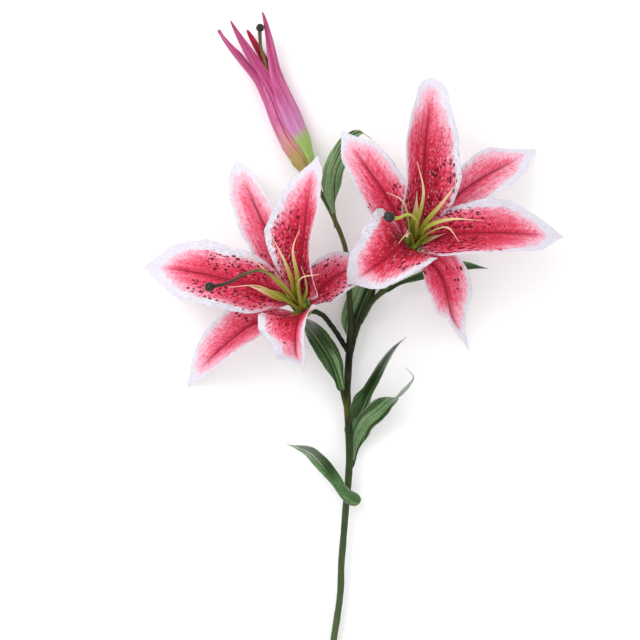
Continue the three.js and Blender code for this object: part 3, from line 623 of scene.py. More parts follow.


# A leaf's print. tint: 0 dark to 1 pale, left and right of its split, on leaf_behind_stem a painted lit half
# and a half in painted shade, other near its foot, and another on a strip between two sides as far as upTo.
# rib: strength of the midrib's pale line. frayed: how worn it is, which grows from frayedFrom to frayedTo.
# All of these are shares of the width or the length.
def paintLeaf(blade, share, side, *_):
    left, right = blade["tints"]
    split = blade.get("split", 0)
    footLeft, footRight = blade.get("footTints", blade["tints"])
    low, high, upTo, stripTint = blade.get("strip", (0, 0, 0, 0))
    strip = window(side, low, high, 0.07) * smooth(upTo + 0.12, upTo - 0.12, share)
    farOut = smooth(0.3, 0.5, share)
    which = smooth(split - 0.12, split + 0.12, side)
    tint = mix(mix(footRight, right, farOut), mix(footLeft, left, farOut), which)
    tint = mix(tint, stripTint, strip)
    frayed = blade.get("frayed", 0) * smooth(blade.get("frayedFrom", 0.5), blade.get("frayedTo", 0.95), share)
    ribFrom = blade.get("ribFrom", 0.25)
    rib = blade.get("rib", 0.25) * smooth(ribFrom, ribFrom + 0.3, share)
    return np.stack([tint, rib, frayed], -1)


# the attributes of both faces: the front's numbers, then the same ones backwards with 0 for the back
def bothFaces(across, along, edge, share, relief, painted):
    front = {
        "flat": np.stack([across, along, edge], -1),
        "place": np.stack([share, 1 + 0 * edge, relief + 0 * edge], -1),
        "print": painted,
    }
    both = {name: [np.concatenate([values, values[:, ::-1]], axis=1)] for name, values in front.items()}
    both["place"][0][:, edge.shape[1] :, 1] = 0
    return both


# A blade with thickness: the middle surface moved along its normals by half the thickness, which thins
# towards the margin. The midrib is a furrow on the front and a rounded rib on the back, and folds are a
# cosine of the millimetres across.
def makeBlade(name, blade, paint, material):
    shares = 1 - np.linspace(1, 0, blade.get("lengthCells", blades["lengthCells"]) + 1) ** 1.25
    sides = np.linspace(1, -1, blade.get("widthCells", blades["widthCells"]) + 1)
    grid, widths, length = bladeGrid(blade, shares, sides)
    normal = unit(np.cross(np.gradient(grid, axis=0), -np.gradient(grid, axis=1)))
    far = np.abs(sides)[None]
    half = mix(blades["thickness"], blades["edgeThickness"], far**6) / 2
    across = sides[None] * widths
    ribEnds = (smooth(0.02, 0.12, shares) * smooth(0.98, 0.7, shares))[:, None]
    furrow = blade.get("furrow", 0.5) * np.exp(-((across / blades["furrowHalf"]) ** 2)) * ribEnds
    folds = np.cos(across * 2 * math.pi / blades["foldStep"]) * (1 - far**4) * ribEnds
    folds = folds * blade.get("folds", 0.16)
    front = grid + normal * (half + folds - furrow)[..., None]
    back = grid + normal * (folds - half - 0.8 * furrow)[..., None]
    # nothing dips into the table, and the face that looks up stays above the other
    faceUp = normal[..., 2:] >= 0
    low, high = np.where(faceUp, back, front), np.where(faceUp, front, back)
    low[..., 2] = np.maximum(low[..., 2], 0)
    high[..., 2] = np.maximum(high[..., 2], low[..., 2] + 0.2 * np.abs(normal[..., 2]))
    front, back = np.where(faceUp, high, low), np.where(faceUp, low, high)
    rings = np.concatenate([front, back[:, ::-1]], axis=1)
    # mm in from the edge, measured square to it where the outline tapers
    edge = widths * (1 - far) * np.cos(np.arctan(np.gradient(widths, shares * length, axis=0)))
    share = shares[:, None] + 0 * edge
    along = share * length + blades["patternStep"] * blade["seed"]
    painted = paint(blade, share, sides[None] + 0 * edge, across, edge, length)
    fields = bothFaces(across, along, edge, share, blade["relief"], painted)
    return skinMesh(name, [rings], fields, material)


# Blooms. Points are in millimetres from the top of the receptacle, whose face looks along axis.
# azimuth: degrees round that face where a tepal or filament stands.
# slope, curl, reach, margin, spots: left of the midrib, then right. slope and curl are degrees, reach is how
# much of the half width is there at shares of the length, margin is mm of white and how far it comes down
# from the tip, spots are from and to which share, from how many mm out, and how likely.
# wave: mm high, how many in the length, and where each side's begin. roll: degrees at the foot and the tip.
leftBloom = dict(
    name="left_bloom", centre=(-38.3, 78.8, 32), axis=(-0.27, 0.25, 0.93),
    tepals=[
        dict(
            name="petal_west", margin=(6.2, 7.2, 4.5), spots=((0.2, 0.6, 4, 0.72), (0.24, 0.55, 3, 0.75)),
            deep=1, relief=0.6, azimuth=177,
            points=[(-16, 11, 16), (-43, 18, 27), (-73, 25, 18), (-101, 30, -6), (-122, 32, -31.8)],
            slope=(8, 10), curl=(14, 10),
            reach=(
                [(0.06, 1), (0.13, 1.6), (0.22, 1), (0.7, 0.86), (1, 0.86)],
                [(0.4, 0.92), (0.7, 0.96), (0.95, 1)],
            ),
            wave=(2.2, 2.2, (0.5, 2.4)),
        ),
        dict(
            name="petal_north", margin=(5.5, 4.6, 6), spots=((0.16, 0.6, 3, 0.72), (0.1, 0.5, 2, 0.7)),
            deep=1.15, relief=1, azimuth=57,
            points=[(-3, 20, 26), (0, 46, 38), (3, 75, 34), (8, 99, 20), (11, 114, 6)], slope=(6, 42),
            curl=(6, 20),
            reach=(
                [(0.2, 0.7), (0.5, 1.12), (0.7, 0.9), (0.88, 1.2)],
                [(0.03, 0.9), (0.12, 1.2), (0.26, 1.6), (0.44, 0.8), (0.58, 1.15), (0.76, 0.72)],
            ),
            roll=(0, -10), wave=(3, 2.6, (2.6, 0.4)),
        ),
        dict(
            name="petal_south", margin=(5, 6, 7), spots=((0.1, 0.3, 3, 0.27), (0.34, 0.62, 4, 0.3)), deep=1,
            relief=0.4, azimuth=297,
            points=[(-3, -8, 36), (-5, -19, 49), (-5, -31, 40), (-3, -39, 23), (-1, -43, 8)],
            slope=([(0.15, 10), (0.4, 38)], 4), curl=(12, 4), tipSlope=(60, 6),
            reach=(
                [(0.08, 1), (0.22, 0.6), (0.36, 0.72), (0.52, 0.5), (0.85, 0.62)],
                [(0.38, 1.12), (0.52, 1), (0.68, 0.7), (0.85, 0.72)],
            ),
            wave=(3, 2.6, (0.2, 1.8)),
        ),
        dict(
            name="sepal_north_west", margin=(2.4, 3.2, 9), spots=((0.1, 0.34, 2, 0.4), (0.1, 0.4, 3, 0.35)),
            deep=0.76, azimuth=117, sepal=True,
            points=[(-12, 23, 9), (-24, 51, 13), (-36, 77, 5), (-45, 98, -9), (-51, 112, -21)],
            slope=(16, 14), curl=(14, 14),
            reach=([(0.2, 0.88), (0.4, 0.98), (0.75, 1)], [(0.2, 0.84), (0.4, 0.92), (0.72, 0.7)]),
            point=0.7, taper=50, tip=0.6, wave=(1.2, 1.6, (0, 1)),
        ),
        dict(
            name="sepal_south_west", margin=(3, 3, 12), spots=((0.1, 0.2, 2, 0.27), (0.1, 0.36, 2.5, 0.58)),
            deep=0.8, azimuth=237, sepal=True,
            points=[(-17, -6, 10), (-36, -11, 13), (-53, -23, 3), (-73, -41, -16), (-89, -60, -31.8)],
            slope=(22, 20), curl=(16, 14),
            reach=([(0.3, 1), (0.6, 0.86), (1, 0.9)], [(0.5, 1), (0.85, 1.1)]), wave=(1.4, 1.8, (1, 2.6)),
        ),
        dict(
            name="sepal_east", margin=(2.4, 2.8, 8), spots=((0.15, 0.7, 3, 0.49), (0.15, 0.6, 3, 0.53)),
            deep=1.05, relief=0.6, azimuth=-3, sepal=True,
            points=[(11, 12, 13), (22, 22, 14), (34, 29, 9), (44, 34, 3), (52, 38, -3)], slope=(10, 10),
            curl=(10, 10), reach=([(0.02, 0.8), (0.12, 0.45), (0.34, 1)], [(0, 1)]), taper=8, tip=0,
            wave=(1, 1.5, (0.6, 2)),
        ),
    ],
    filaments=[
        dict(azimuth=-40, points=[(-3, 16, 42), (0, 22, 58), (12, 24, 70)]),
        dict(azimuth=20, points=[(3, 12.5, 34), (2, 21.5, 48), (-1, 30, 56)]),
        dict(azimuth=80, points=[(-4, 24, 40), (-7, 42, 58), (-2, 57, 66)]),
        dict(azimuth=140, points=[(-8, 20, 38), (-14, 36, 54), (-23, 53, 60)]),
        dict(azimuth=200, points=[(-15, 15, 32), (-28, 28, 44), (-41, 40, 46)]),
        dict(azimuth=260, points=[(-17, 8, 30), (-33, 16, 42), (-55, 15, 44)]),
        dict(azimuth=170, broad=True, points=[(-9, 5, 15), (-16, 8, 22.5), (-29, 12.5, 30), (-42, 17, 32)]),
    ],
    pistil=[(-10, 12, 32), (-19, 21, 48), (-30, 27, 56), (-41, 25, 56), (-55, 18, 53), (-68, 15, 53)],
    stigma=dict(radius=3.7, lumps=0.05, spike=0), styleShade=1.05,
)
rightBloom = dict(
    name="right_bloom", centre=(43.7, 125.4, 36), axis=(0.1, 0.3, 0.95),
    tepals=[
        dict(
            name="petal_north", margin=(3.6, 4.8, 8), spots=((0.12, 0.42, 2, 0.7), (0.14, 0.46, 2.5, 0.78)),
            deep=1, relief=1, azimuth=96,
            points=[(3, 18, 20), (7, 39, 34), (8, 69, 34), (12.3, 100, 14), (16.8, 128, -12)],
            slope=(44, 10), curl=(20, 8),
            reach=(
                [(0.2, 0.92), (0.5, 1.02), (0.8, 0.64), (0.94, 0.75)],
                [(0.2, 0.88), (0.42, 1.04), (0.6, 0.9), (0.82, 0.7), (0.94, 0.85)],
            ),
            point=0.6, taper=60, tip=0.6, wave=(2.2, 2.4, (0.6, 1.6)),
        ),
        dict(
            name="petal_east", margin=(6.4, 4.8, 10), spots=((0.08, 0.46, 3, 0.95), (0.1, 0.42, 3, 0.9)),
            deep=0.98, relief=0.5, azimuth=-24,
            points=[(14, 6, 22), (35, 8, 34), (64, 9, 25), (92, 8, 4), (116, 7, -20)], slope=(-3, 32),
            curl=(8, 16),
            reach=(
                [(0.5, 0.96), (0.9, 1.05)],
                [(0.06, 1), (0.13, 1.6), (0.26, 1.16), (0.45, 1.1), (0.72, 0.82), (0.88, 0.66)],
            ),
            wave=(2, 2.2, (0.2, 1.2)),
        ),
        dict(
            name="petal_south_west", margin=(4.6, 7.5, 7),
            spots=((0.15, 0.56, 3, 0.85), (0.2, 0.4, 4, 0.3)), deep=1.4, relief=0.8, azimuth=216,
            points=[(-8, 0, 38), (-18, -8, 51), (-31, -18, 44), (-42, -25, 31.5), (-49, -29, 18.8)],
            slope=(22, 6), curl=(10, 8),
            reach=([(0.35, 1.06), (0.62, 0.86), (0.83, 0.5)], [(0.25, 1), (0.4, 1.2), (0.55, 1)]),
            wave=(2.6, 2.4, (2.4, 0.4)),
        ),
        dict(
            name="sepal_north_west", margin=(2.6, 3.2, 8),
            spots=((0.1, 0.42, 3, 0.45), (0.14, 0.46, 2, 0.85)), deep=0.85, azimuth=156, sepal=True,
            points=[(-10, 18, 11), (-22, 40, 16), (-34, 58, 11), (-44, 73, 3), (-53, 87, -5)],
            slope=(12, 10), curl=(10, 8),
            reach=([(0.3, 1.1), (0.65, 1), (0.9, 1.15)], [(0.5, 1), (0.9, 1.25)]), wave=(1.2, 1.5, (1, 0)),
        ),
        dict(
            name="sepal_north_east", margin=(2.6, 4.6, 10),
            spots=((0.12, 0.36, 3, 0.18), (0.1, 0.25, 3, 0.14)), deep=0.68, azimuth=36, sepal=True,
            points=[(15, 18, 13), (33, 37, 14), (54, 52, 4), (76, 64, -16), (96, 75, -35.8)], slope=(16, 6),
            curl=(14, 14), reach=([(0.4, 0.84), (0.7, 1.02), (0.95, 1.1)], [(0.6, 1), (0.9, 1.15)]),
            wave=(1.4, 2, (0.4, 2)),
        ),
        dict(
            name="sepal_south", margin=(3.6, 2.8, 15), spots=((0.1, 0.45, 3, 0.2), (0.1, 0.3, 3, 0.12)),
            deep=0.82, azimuth=276, sepal=True,
            points=[
                (8, -10, 14), (18, -18, 18), (25, -33, 9), (30, -52, -9), (39, -66, -24), (45, -79, -35.8),
            ],
            slope=(14, 16), curl=(14, 14),
            reach=(
                [(0.06, 1), (0.14, 1.4), (0.5, 1), (0.7, 0.9), (0.84, 0.45)],
                [(0.3, 1.1), (0.46, 1), (0.64, 0.34), (1, 0.5)],
            ),
            taper=8, tip=0.4, wave=(1.6, 2, (2, 0.4)),
        ),
    ],
    filaments=[
        dict(azimuth=-60, points=[(12, 9, 36), (24, 12, 48), (33, 1, 48)]),
        dict(azimuth=0, points=[(10, 13, 36), (26, 18, 50), (49, 17, 52)]),
        dict(azimuth=60, points=[(10, 18, 36), (21, 31, 52), (33, 48, 60)]),
        dict(azimuth=120, points=[(4, 22, 42), (6, 39, 60), (1, 59, 68)]),
        dict(azimuth=180, points=[(-5, 22, 42), (-10, 32, 56), (-21, 37, 62)]),
        dict(azimuth=240, points=[(-3, 8, 36), (-7, 6, 44), (-12, 0, 46)]),
        dict(azimuth=90, broad=True, points=[(1, 15, 26), (1.5, 24, 33), (2, 39, 41)]),
        dict(azimuth=-30, broad=True, points=[(8, 3, 20), (15, 5.5, 27), (23, 8, 32)]),
    ],
    pistil=[(2, 11, 34), (1, 17, 52), (-5, 21, 62), (-13, 18, 66), (-19, 19, 68)],
    stigma=dict(radius=3.9, lumps=0.3, spike=1.6), styleShade=0.5,
)
blooms = [leftBloom, rightBloom]

# mm between the receptacle and what stands on it, and radii on it
seats = dict(gap=0.35, petalRadius=5.6, sepalRadius=6.6, cupRadius=8, ringInner=2.0, ringOuter=4.1)


# The face of a receptacle. outward(azimuth) = east * cos + north * sin, both square to its axis, and
# place(radius, azimuth, height) = centre + outward * radius + axis * height
def seatOf(bloom):
    middle, up = np.array(bloom["centre"], float), unit(np.array(bloom["axis"], float))
    east = unit(np.array([1.0, 0, 0]) - up * up[0])
    north = np.cross(up, east)

    def outward(azimuth):
        turn = np.radians(azimuth)[..., None]
        return east * np.cos(turn) + north * np.sin(turn)

    def place(radius, azimuth, height):
        return middle + outward(azimuth) * radius + up * height

    return middle, up, outward, place


# a tepal: a blade along two points on the receptacle and then its own points
def makeTepal(bloom, spec, seed):
    middle, up, outward, place = seatOf(bloom)
    sepal = spec.get("sepal", False)
    azimuth = spec["azimuth"]
    radius = seats["sepalRadius"] if sepal else seats["petalRadius"]
    start = [place(radius, azimuth, seats["gap"]), place(radius + (1.8 if sepal else 0.6), azimuth, 8)]
    blade = dict(taper=12, tip=1, roundTip=2.4, relief=0.35, scallop=0.035, seed=seed) | spec
    blade |= dict(
        points=start + [np.array(p) + middle for p in spec["points"]],
        up=up,
        rootLeft=np.cross(up, outward(azimuth)),
        half=blades["sepalHalf"] if sepal else blades["petalHalf"],
        root=math.degrees(blades["clawHalf"] / radius),
        crimp=0.6 if sepal else 0.9,
    )
    node = bloom["name"] + "_" + spec["name"]
    settle(makeBlade(node + "_fabric", blade, paintTepal, materials["tepal"]), node)


# filaments: flat tapered stalks on one short ring round the pistil's foot, which is a profile turned round
def makeStamens(bloom):
    middle, up, outward, place = seatOf(bloom)
    inner, outer = seats["ringInner"], seats["ringOuter"]
    radius = (inner + outer) / 2
    skins, fields = [], []
    for spec in bloom["filaments"]:
        azimuth, broad = spec["azimuth"], spec.get("broad")
        points = [place(radius, azimuth, 4), place(radius + 0.3, azimuth, 13)]
        points += [np.array(p) + middle for p in spec["points"]]

        def size(s, broad=broad):
            wide = eased([(0, 1.9), (0.3, 1.9), (0.5, 3.4 if broad else 1.8), (1, 0.2)], s)
            deep = eased([(0, 1.1), (0.6, 0.6), (1, 0.2)], s)
            return wide, np.minimum(deep, 0.55 if broad else 1)

        rings, flat = stalkRings(points, size, 14, 50, left=np.cross(up, outward(azimuth)))
        skins.append(rings)
        fields.append(flat)
    profile = [(outer, 0), (outer - 0.1, 5), (outer - 0.5, 9.6), (3.2, 10)]
    profile += [(2.4, 9.8), (inner, 9.2), (inner, 0)]
    turn = np.linspace(0, 360, 32, endpoint=False)
    skins.append(np.array([place(r, turn, z + seats["gap"]) for r, z in profile + profile[:1]]))
    fields.append(np.zeros_like(skins[-1]) + 0.1)
    node = bloom["name"] + "_stamens"
    piece = skinMesh(node + "_moulding", skins, {"flat": fields}, materials["filament"])
    settle(piece, node)


# a stigma: a sphere of rings along the style's end, pressed into three lobes and roughened by sine waves
def stigmaRings(centre, direction, shape):
    ahead = unit(np.array(direction, float))
    side = unit(np.cross(ahead, [0.2, 0.1, 1]))
    face = np.cross(ahead, side)
    polar = np.linspace(0.06, math.pi - 0.06, 25)[:, None]
    turn = np.linspace(0, 2 * math.pi, 32, endpoint=False)[None]
    rough = drift(polar * 5, 3) * drift(turn * 3 + polar * 2, 8)
    radius = shape["radius"] * (1 + 0.05 * np.cos(3 * turn) * np.sin(polar) + shape["lumps"] * rough)
    out = radius * np.sin(polar)
    along = -radius * np.cos(polar)
    rings = (
        np.array(centre)
        + ahead * along[..., None]
        + side * (out * np.cos(turn))[..., None]
        + face * (out * np.sin(turn))[..., None]
    )
    flat = np.stack(np.broadcast_arrays(2 * turn, along, 0 * along + 1.2), -1)
    return rings, flat


# a pistil: round rings along its points, with a stigma and sometimes a small pointed lobe.
# green: how much of its length the olive keeps, more where it is below 1
def makePistil(name, points, shape, green):
    def size(s):
        thick = eased([(0, 1.5), (0.2, 1.2), (0.85, 1.15), (1, 1.5)], s)
        return thick, thick

    rings, flat = stalkRings(points, size, 20, 90)
    ball, ballFlat = stigmaRings(points[-1], np.array(points[-1]) - np.array(points[-2]), shape)
    flat = flat * (1, 1, green)
    skins, fields = [rings, ball], [flat, ballFlat]
    if shape["spike"]:
        tip = np.array(points[-1], float) + (-1, 3.5, 1.5)
        lobe = [points[-1], tip, tip + (-0.8, 1.2, 0.6)]
        spike, spikeFlat = stalkRings(lobe, lambda s: (0.6 - 0.5 * s, 0.6 - 0.5 * s), 10, 12)
        skins.append(spike)
        fields.append(spikeFlat * 0 + 1.2)
    piece = skinMesh(name + "_moulding", skins, {"flat": fields}, materials["pistil"])
    settle(piece, name)


seed = 1
for bloom in blooms:
    for spec in bloom["tepals"]:
        makeTepal(bloom, spec, seed)
        seed += 7
    makeStamens(bloom)
    middle, *_, place = seatOf(bloom)
    stylePoints = [place(0, 0, h) for h in (seats["gap"], 7, 14)]
    stylePoints += [np.array(p) + middle for p in bloom["pistil"]]
    makePistil(bloom["name"] + "_pistil", stylePoints, bloom["stigma"], bloom["styleShade"])
    print(bloom["name"], "made")


# The bud: two layers of three tepals stand round its axis like the staves of a barrel
bud = dict(
    axis=[(-35, 183, 15), (-42.5, 202, 12.4), (-52.5, 226, 11.2), (-64, 253, 11.8), (-75, 277, 14)],
    radius=[(0, 4.2), (0.1, 7.4), (0.24, 9.8), (0.42, 10.3), (0.62, 9.2), (0.8, 7.6), (1, 5.8)],
    length=118, layerGap=1.6, thickness=0.5,
    footTurn=36,  # degrees that the outer layer is turned at its foot
    hug=0.85,  # mm that the outer layer's margins come down onto the inner layer
    spread=(50, 56),  # half the angle that an outer and an inner stave covers, in degrees
    partsAt=0.56,  # share of the length where the tips begin to part
    pistil=[(-58, 239, 13), (-66, 262, 17), (-70, 275, 20), (-71, 284, 21.5), (-71, 291, 22.5)],
    stigma=dict(radius=3.1, lumps=0.08, spike=0),
    # azimuths run round the axis from straight up towards the right: where it grows, where its tip lies.
    # tone: share of the length that is green, lilac towards the foot, warmth of the green
    staves=[
        dict(
            name="sepal_left", azimuth=(-82, -56), outer=True, length=1, tip=(-103, 290, 18),
            swellings=[(0.86, 0.04, 0.22), (0.985, 0.012, 0.14)], tone=(0.16, 0.1, 1),
        ),
        dict(
            name="sepal_right", azimuth=(38, 44), outer=True, length=1, tip=(-69, 303, 22),
            tone=(0.288, 0.9, 0),
        ),
        dict(
            name="sepal_under", azimuth=(158, 158), outer=True, length=0.84, tip=(-74, 281, 3),
            tone=(0.2, 0.5, 0.3),
        ),
        dict(name="petal_top", azimuth=(-22, -26), length=1, tip=(-93, 296, 26), tone=(0.15, 0.2, 0.9)),
        dict(
            name="petal_right", azimuth=(98, 130), length=0.9, tip=(-81, 291, 10), point=0.6,
            tone=(0.2, 0.6, 0.2),
        ),
        dict(name="petal_left", azimuth=(218, 218), length=0.86, tip=(-80, 278, 8), tone=(0.14, 0.2, 0.8)),
    ],
)


# the bud's frame at shares of its axis: place, right and up
def budFrame(shares):
    places, tangents, _ = route(bud["axis"], shares)
    right = unit(np.cross(tangents, [0, 0, 1]))
    return places, right, np.cross(right, tangents)


# a stave's surface: axis + radius round it as far as partsAt, then it leans to its tip by opening ** 2.1
def staveGrid(spec, along, sides, lift):
    outer = spec.get("outer", False)
    spread = math.radians(bud["spread"][0 if outer else 1])
    length = spec["length"]
    extra = bud["layerGap"] if outer else 0

    def around(shares, turn, radius):
        places, right, up = budFrame(shares)
        return (
            places[:, None]
            + right[:, None] * (radius * np.sin(turn))[..., None]
            + up[:, None] * (radius * np.cos(turn))[..., None]
        )

    opening = smooth(bud["partsAt"], 1, along)[:, None]
    footTurn = bud["footTurn"] * (1 - smooth(0, 0.34, along))[:, None] if outer else 0
    ridge = np.radians(mix(*spec["azimuth"], opening) + footTurn)
    narrow = (1 - np.maximum(0, (along - 0.5) / 0.5) ** 2)[:, None] ** spec.get("point", 0.85) * 0.97 + 0.03
    for place, width, height in spec.get("swellings", []):
        narrow = narrow + height * np.exp(-(((along - place) / width) ** 2))[:, None]
    radius = (eased(bud["radius"], along * length) + extra)[:, None] + lift
    radius = radius - (bud["hug"] * np.abs(sides) ** 8 if outer else 0)
    end = eased(bud["radius"], np.array([length])) + extra
    tipTurn = np.full((1, 1), math.radians(spec["azimuth"][1]))
    lean = np.array(spec["tip"]) - around(np.array([length]), tipTurn, end[:, None])[0, 0]
    turn = ridge + spread * sides[None] * narrow
    return around(along * length, turn, radius) + lean * (opening**2.1)[..., None], spread * narrow * radius


# A stave's two faces are thickness apart, and pleats move both: a cosine of the side, none at the foot.
# Neither face goes below the table, and the inner layer stays above the outer one there.
def makeStave(spec, seed):
    along = np.linspace(0, 1, 81)
    sides = np.linspace(-1, 1, 29)
    half = bud["thickness"] / 2
    pleat = 0.22 * np.cos(sides * 13 + seed)[None] * smooth(0.05, 0.3, along)[:, None]
    outside, widths = staveGrid(spec, along, sides, half + pleat)
    inside, _ = staveGrid(spec, along, sides, pleat - half)
    floor = 0 if spec.get("outer") else 1.05
    outside[..., 2] = np.maximum(outside[..., 2], floor)
    inside[..., 2] = np.maximum(inside[..., 2], floor + 0.4)
    rings = np.concatenate([outside, inside[:, ::-1]], axis=1)
    edge = widths * (1 - np.abs(sides))
    share = along[:, None] * spec["length"] + 0 * edge
    shown = share * bud["length"] + blades["patternStep"] * seed
    painted = np.zeros((*edge.shape, 3)) + spec["tone"]
    fields = bothFaces(widths * sides, shown, edge, share, 0, painted)
    name = "bud_" + spec["name"]
    settle(skinMesh(name + "_fabric", [rings], fields, materials["bud"]), name)


for number, spec in enumerate(bud["staves"]):
    makeStave(spec, 3 + 5 * number)
budFoot, budAhead, _ = route(bud["axis"], [0.0])
makePistil("bud_pistil", [budFoot[0] + budAhead[0] * seats["gap"]] + bud["pistil"], bud["stigma"], 0.8)
print("bud made")


# Leaves: stubFrom is where the stub grows from the stem, and the other values are those of the blooms
# relief: how strongly a leaf's veins show their painted highlight and painted shade
leafShape = dict(
    widest=0.42, point=1.1, claw=1.5, wave=(0.8, 1.5, (0, 1.5)), root=10, tipSlope=(10, 10), furrow=0.4,
    folds=0.16, crimp=0.3, relief=1, lengthCells=110, widthCells=28,
)
leaves = [
    dict(
        name="leaf_under_left_bloom", tints=(0.29, 0.22), strip=(-0.62, -0.06, 0.42, 0.74), rib=0.1,
        blunt=0.08, frayed=0.8, frayedFrom=0.6, stubFrom=(-6, 5, 15),
        points=[(-9, 16, 20), (-12, 27, 25), (-17, 40, 26), (-26, 54, 23), (-35, 66, 16), (-43, 75, 9)],
        half=9.5, claw=3.6, widest=0.5, up=(0.1, -0.2, 1), slope=(8, 20), curl=(10, 10),
        reach=([(0.3, 0.9), (0.6, 0.8)], [(0, 1)]),
    ),
    dict(
        name="leaf_upright", tints=(0.3, 0.2), frayed=1, frayedFrom=0.45, frayedTo=0.88, blunt=0.06,
        stubFrom=(-4, -14, 14),
        points=[(-1, -4, 18), (6, 9, 22), (15, 24, 27), (22, 37, 28), (30, 48, 27), (40, 57, 24)], half=9,
        widest=0.34, claw=4.4, up=(0, 0, 1), slope=(60, 60), curl=(6, 6), tipSlope=(60, 60),
    ),
    dict(
        name="leaf_curled_tip", tints=(0.8, 0.12), split=-0.5, frayed=1, frayedFrom=0.56, frayedTo=0.76,
        stubFrom=(-4, -46, 10),
        points=[
            (0, -38, 8.5), (3, -23, 8), (9, -9, 12), (19, 0, 16.5), (28, 8, 20), (35, 14, 23), (42, 21, 24),
            (45, 27, 25), (39, 34, 26),
        ],
        half=8.4, widest=0.36, point=1.5,
        reach=([(0.08, 1), (0.2, 1.9), (0.36, 1), (0.54, 1.15), (0.68, 0.5)], [(0.54, 1), (0.68, 0.5)]),
        up=(0, 0, 1), slope=(-4, 30), curl=(4, 30), twist=(0.6, 0.76, 165),
    ),
    dict(
        name="leaf_drooping", tints=(0.56, 0.26), footTints=(0.54, 0.54), rib=0.9, relief=0.4, ribFrom=0.4,
        frayed=0.5,
        points=[
            (5, -69, 13), (-6, -62.5, 15), (-15, -52, 20), (-26, -38, 23), (-35, -30, 19), (-51, -25, 11),
        ],
        half=6.4, claw=6, widest=0.5, up=(0, 0, 1), slope=(4, 4), curl=(8, 8), blunt=0.14,
        reach=([(0.1, 1.1), (0.36, 0.55), (0.7, 0.8)], [(0, 1)]),
    ),
    dict(
        # tints: the left half painted paler as lit, the right half darker as painted shade
        name="leaf_behind_stem", tints=(0.8, 0.2), stubFrom=(-4, 38, 14),
        points=[(-3.5, 47, 10.5), (-2, 57, 10), (-1, 70, 9.5), (5, 85, 9.5), (11, 100, 9.5), (17, 117, 9)],
        half=10, widest=0.5, up=(0, 0, 1), slope=(8, 8), curl=(8, 8),
    ),
    dict(
        name="leaf_under_right_bloom", tints=(0.5, 0.42), rib=0.1, stubFrom=(16, 86, 18),
        points=[
            (25, 92, 13), (36, 98, 11.5), (49, 102.5, 11.5), (66, 108, 12), (84, 111, 12), (103, 109, 11),
        ],
        half=4.5, widest=0.6, up=(0, 0, 1), slope=(20, 20), curl=(8, 8),
    ),
    dict(
        name="leaf_on_bud_stalk", tints=(0.86, 0.72), relief=1.5, stubFrom=(-13, 140, 21),
        points=[
            (-15, 150, 23), (-17, 160, 25), (-17, 172, 26), (-15, 184, 26), (-9, 198, 24), (-3, 207, 20),
            (5, 212, 15), (14, 208, 10),
        ],
        half=8, widest=0.38, point=1, up=(0, 0, 1), slope=(16, 16), curl=(10, 10),
    ),
]
for number, spec in enumerate(leaves):
    blade = dict(leafShape, **spec, seed=50 + 3 * number)
    piece = makeBlade(spec["name"] + "_fabric", blade, paintLeaf, materials["leaf"])
    settle(piece, spec["name"])
print("leaves made:", len(leaves))


# The stem, its bloom stalks with receptacles, the bud's seat and the stub of each leaf that has a stubFrom
stem = dict(
    main=[
        (-26.6, -303, 2.3), (-20, -213, 5), (-15, -175, 6.5), (-10, -138, 8), (-9, -113, 9), (-6, -76, 11),
        (-4, -52, 12), (-3, -28, 13), (-4, -6, 14), (-5, 14, 15), (-4, 32, 16), (-3, 50, 17), (-2, 67, 18),
        (-3, 85, 19), (-4, 104, 20), (-7, 127, 21), (-16, 149, 20), (-26, 168, 18), (-31, 176, 16),
        (-34.3, 181.5, 15.1),
    ],
    radius=[(0, 2.45), (0.45, 2.5), (0.62, 2.85), (0.74, 2.7), (0.8, 2.1), (0.9, 1.7), (1, 1.6)],
    left=[(-3, 44, 17), (-8, 52, 17), (-13, 60, 17.5), (-18, 67, 17), (-23, 73, 16), (-29, 76, 17)],
    right=[
        (-3, 40, 16), (-0.5, 52, 17), (3, 64, 18), (9, 77, 18), (17, 87, 18), (26, 96, 17), (35, 108, 18),
    ],
    stalk=1.9, stub=(1.9, 1.35), budSeat=(1.6, 6.4),  # mm, where each starts and ends
    cup=9, ribs=0.12,  # mm that the cup is deep and the ribs are high
)


# ribs along the stalk: a cosine of the turn, with slow swellings along the length
def stalkRibs(share, turn):
    return stem["ribs"] * (np.cos(6 * turn) + 1.4 * drift(share * 60 + turn, 12))


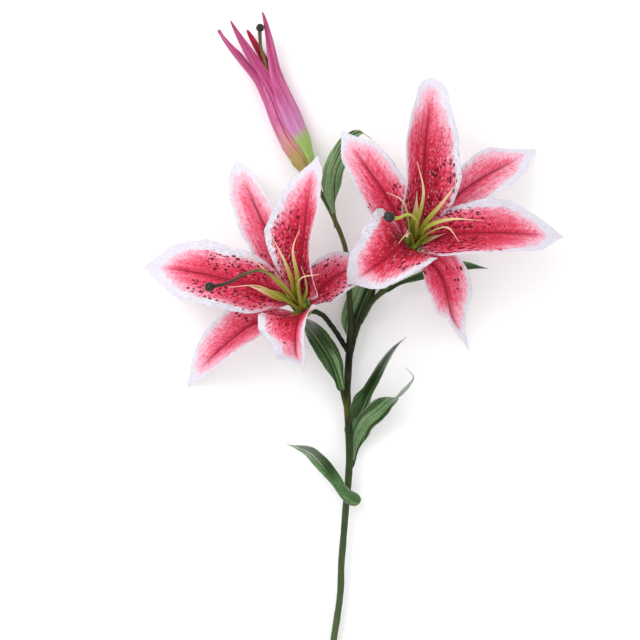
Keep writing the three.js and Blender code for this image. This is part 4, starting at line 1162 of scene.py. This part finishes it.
# every stalk is rings round a curve, whose radius is a function of the share of its length, and they run
# into one another. throat: how yellow-green a receptacle is
def makeStem():
    skins, fields, prints = [], [], []

    def add(points, radius, around, steps, relief=None, throat=0.0):
        rings, flat = stalkRings(points, lambda s: (radius(s), radius(s)), around, steps, relief=relief)
        skins.append(rings)
        fields.append(flat)
        prints.append(np.zeros_like(flat) + (throat, 0, 0))

    add(stem["main"], lambda s: eased(stem["radius"], s), 28, 420, stalkRibs)
    for bloom, way in zip(blooms, ("left", "right")):
        middle, *_, place = seatOf(bloom)
        under, within = place(0, 0, -stem["cup"]), place(0, 0, -stem["cup"] / 2)
        add(stem[way] + [under, within], lambda s: stem["stalk"] + 0 * s, 20, 120, stalkRibs)
        cup = [(0, stem["stalk"]), (0.6, seats["cupRadius"] * 0.72), (1, seats["cupRadius"])]
        add([under, within, middle], lambda s: eased(cup, s), 36, 24, throat=0.8)
    budSeat = [budFoot[0] - budAhead[0] * d for d in (6, 3, seats["gap"])]
    add(budSeat, lambda s: mix(*stem["budSeat"], s), 28, 12)
    for spec in leaves:
        if "stubFrom" in spec:
            start, second = np.array(spec["points"][:2], float)
            ahead = unit(second - start)
            end = start + ahead * seats["gap"]
            add([spec["stubFrom"], end - ahead * 2.6, end], lambda s: mix(*stem["stub"], s), 16, 20)
    piece = skinMesh("stem_moulding", skins, {"flat": fields, "print": prints}, materials["stem"])
    settle(piece, "stem")


makeStem()
print("stem made")


# Floor, light and camera
studio = dict(
    camera=(-0.0255, 0.06975, 1.84), lens=135,  # straight above the spray, looking down
    floor="FBFBFC", floorHalf=3.0, floorHeight=-0.0002,  # just under the spray, so that no faces meet
    sky=1.12, key=11.2, keySize=1.2, keyAt=(-0.9, 0.9, 1.5), keyTurn=(-38, -38, 0),
)


# a flat square table, an even white room, and one soft round lamp from the upper left
def makeStudio():
    scene = bpy.context.scene
    half, height = studio["floorHalf"], studio["floorHeight"]
    corners = [(-half, -half, height), (half, -half, height), (half, half, height), (-half, half, height)]
    floorMesh = bpy.data.meshes.new("tableTop")
    floorMesh.from_pydata(corners, [], [(0, 1, 2, 3)])
    floor = bpy.data.objects.new("tableTop", floorMesh)
    scene.collection.objects.link(floor)
    # matt paper: no highlight, so that it stays one even white
    material, node = startMaterial("mattPaper")
    paper = node("BsdfPrincipled", named={"Base Color": studio["floor"], "Roughness": 0.9})
    node("OutputMaterial", paper)
    floorMesh.materials.append(material)

    world = bpy.data.worlds.new("softRoom")
    world.use_nodes = True
    sky = world.node_tree.nodes["Background"].inputs
    sky["Color"].default_value = (1, 1, 1, 1)
    sky["Strength"].default_value = studio["sky"]
    scene.world = world

    lamp = bpy.data.lights.new("softBox", "AREA")
    lamp.shape = "DISK"
    lamp.size = studio["keySize"]
    lamp.energy = studio["key"]
    key = bpy.data.objects.new("softBox", lamp)
    key.location = studio["keyAt"]
    key.rotation_euler = np.radians(studio["keyTurn"])
    scene.collection.objects.link(key)

    camera = bpy.data.objects.new("camera", bpy.data.cameras.new("camera"))
    camera.data.lens = studio["lens"]
    camera.data.sensor_width = 36
    camera.data.clip_end = 20
    camera.location = studio["camera"]
    scene.collection.objects.link(camera)
    scene.camera = camera
    scene.view_settings.view_transform = "Standard"


makeStudio()
print("studio made")
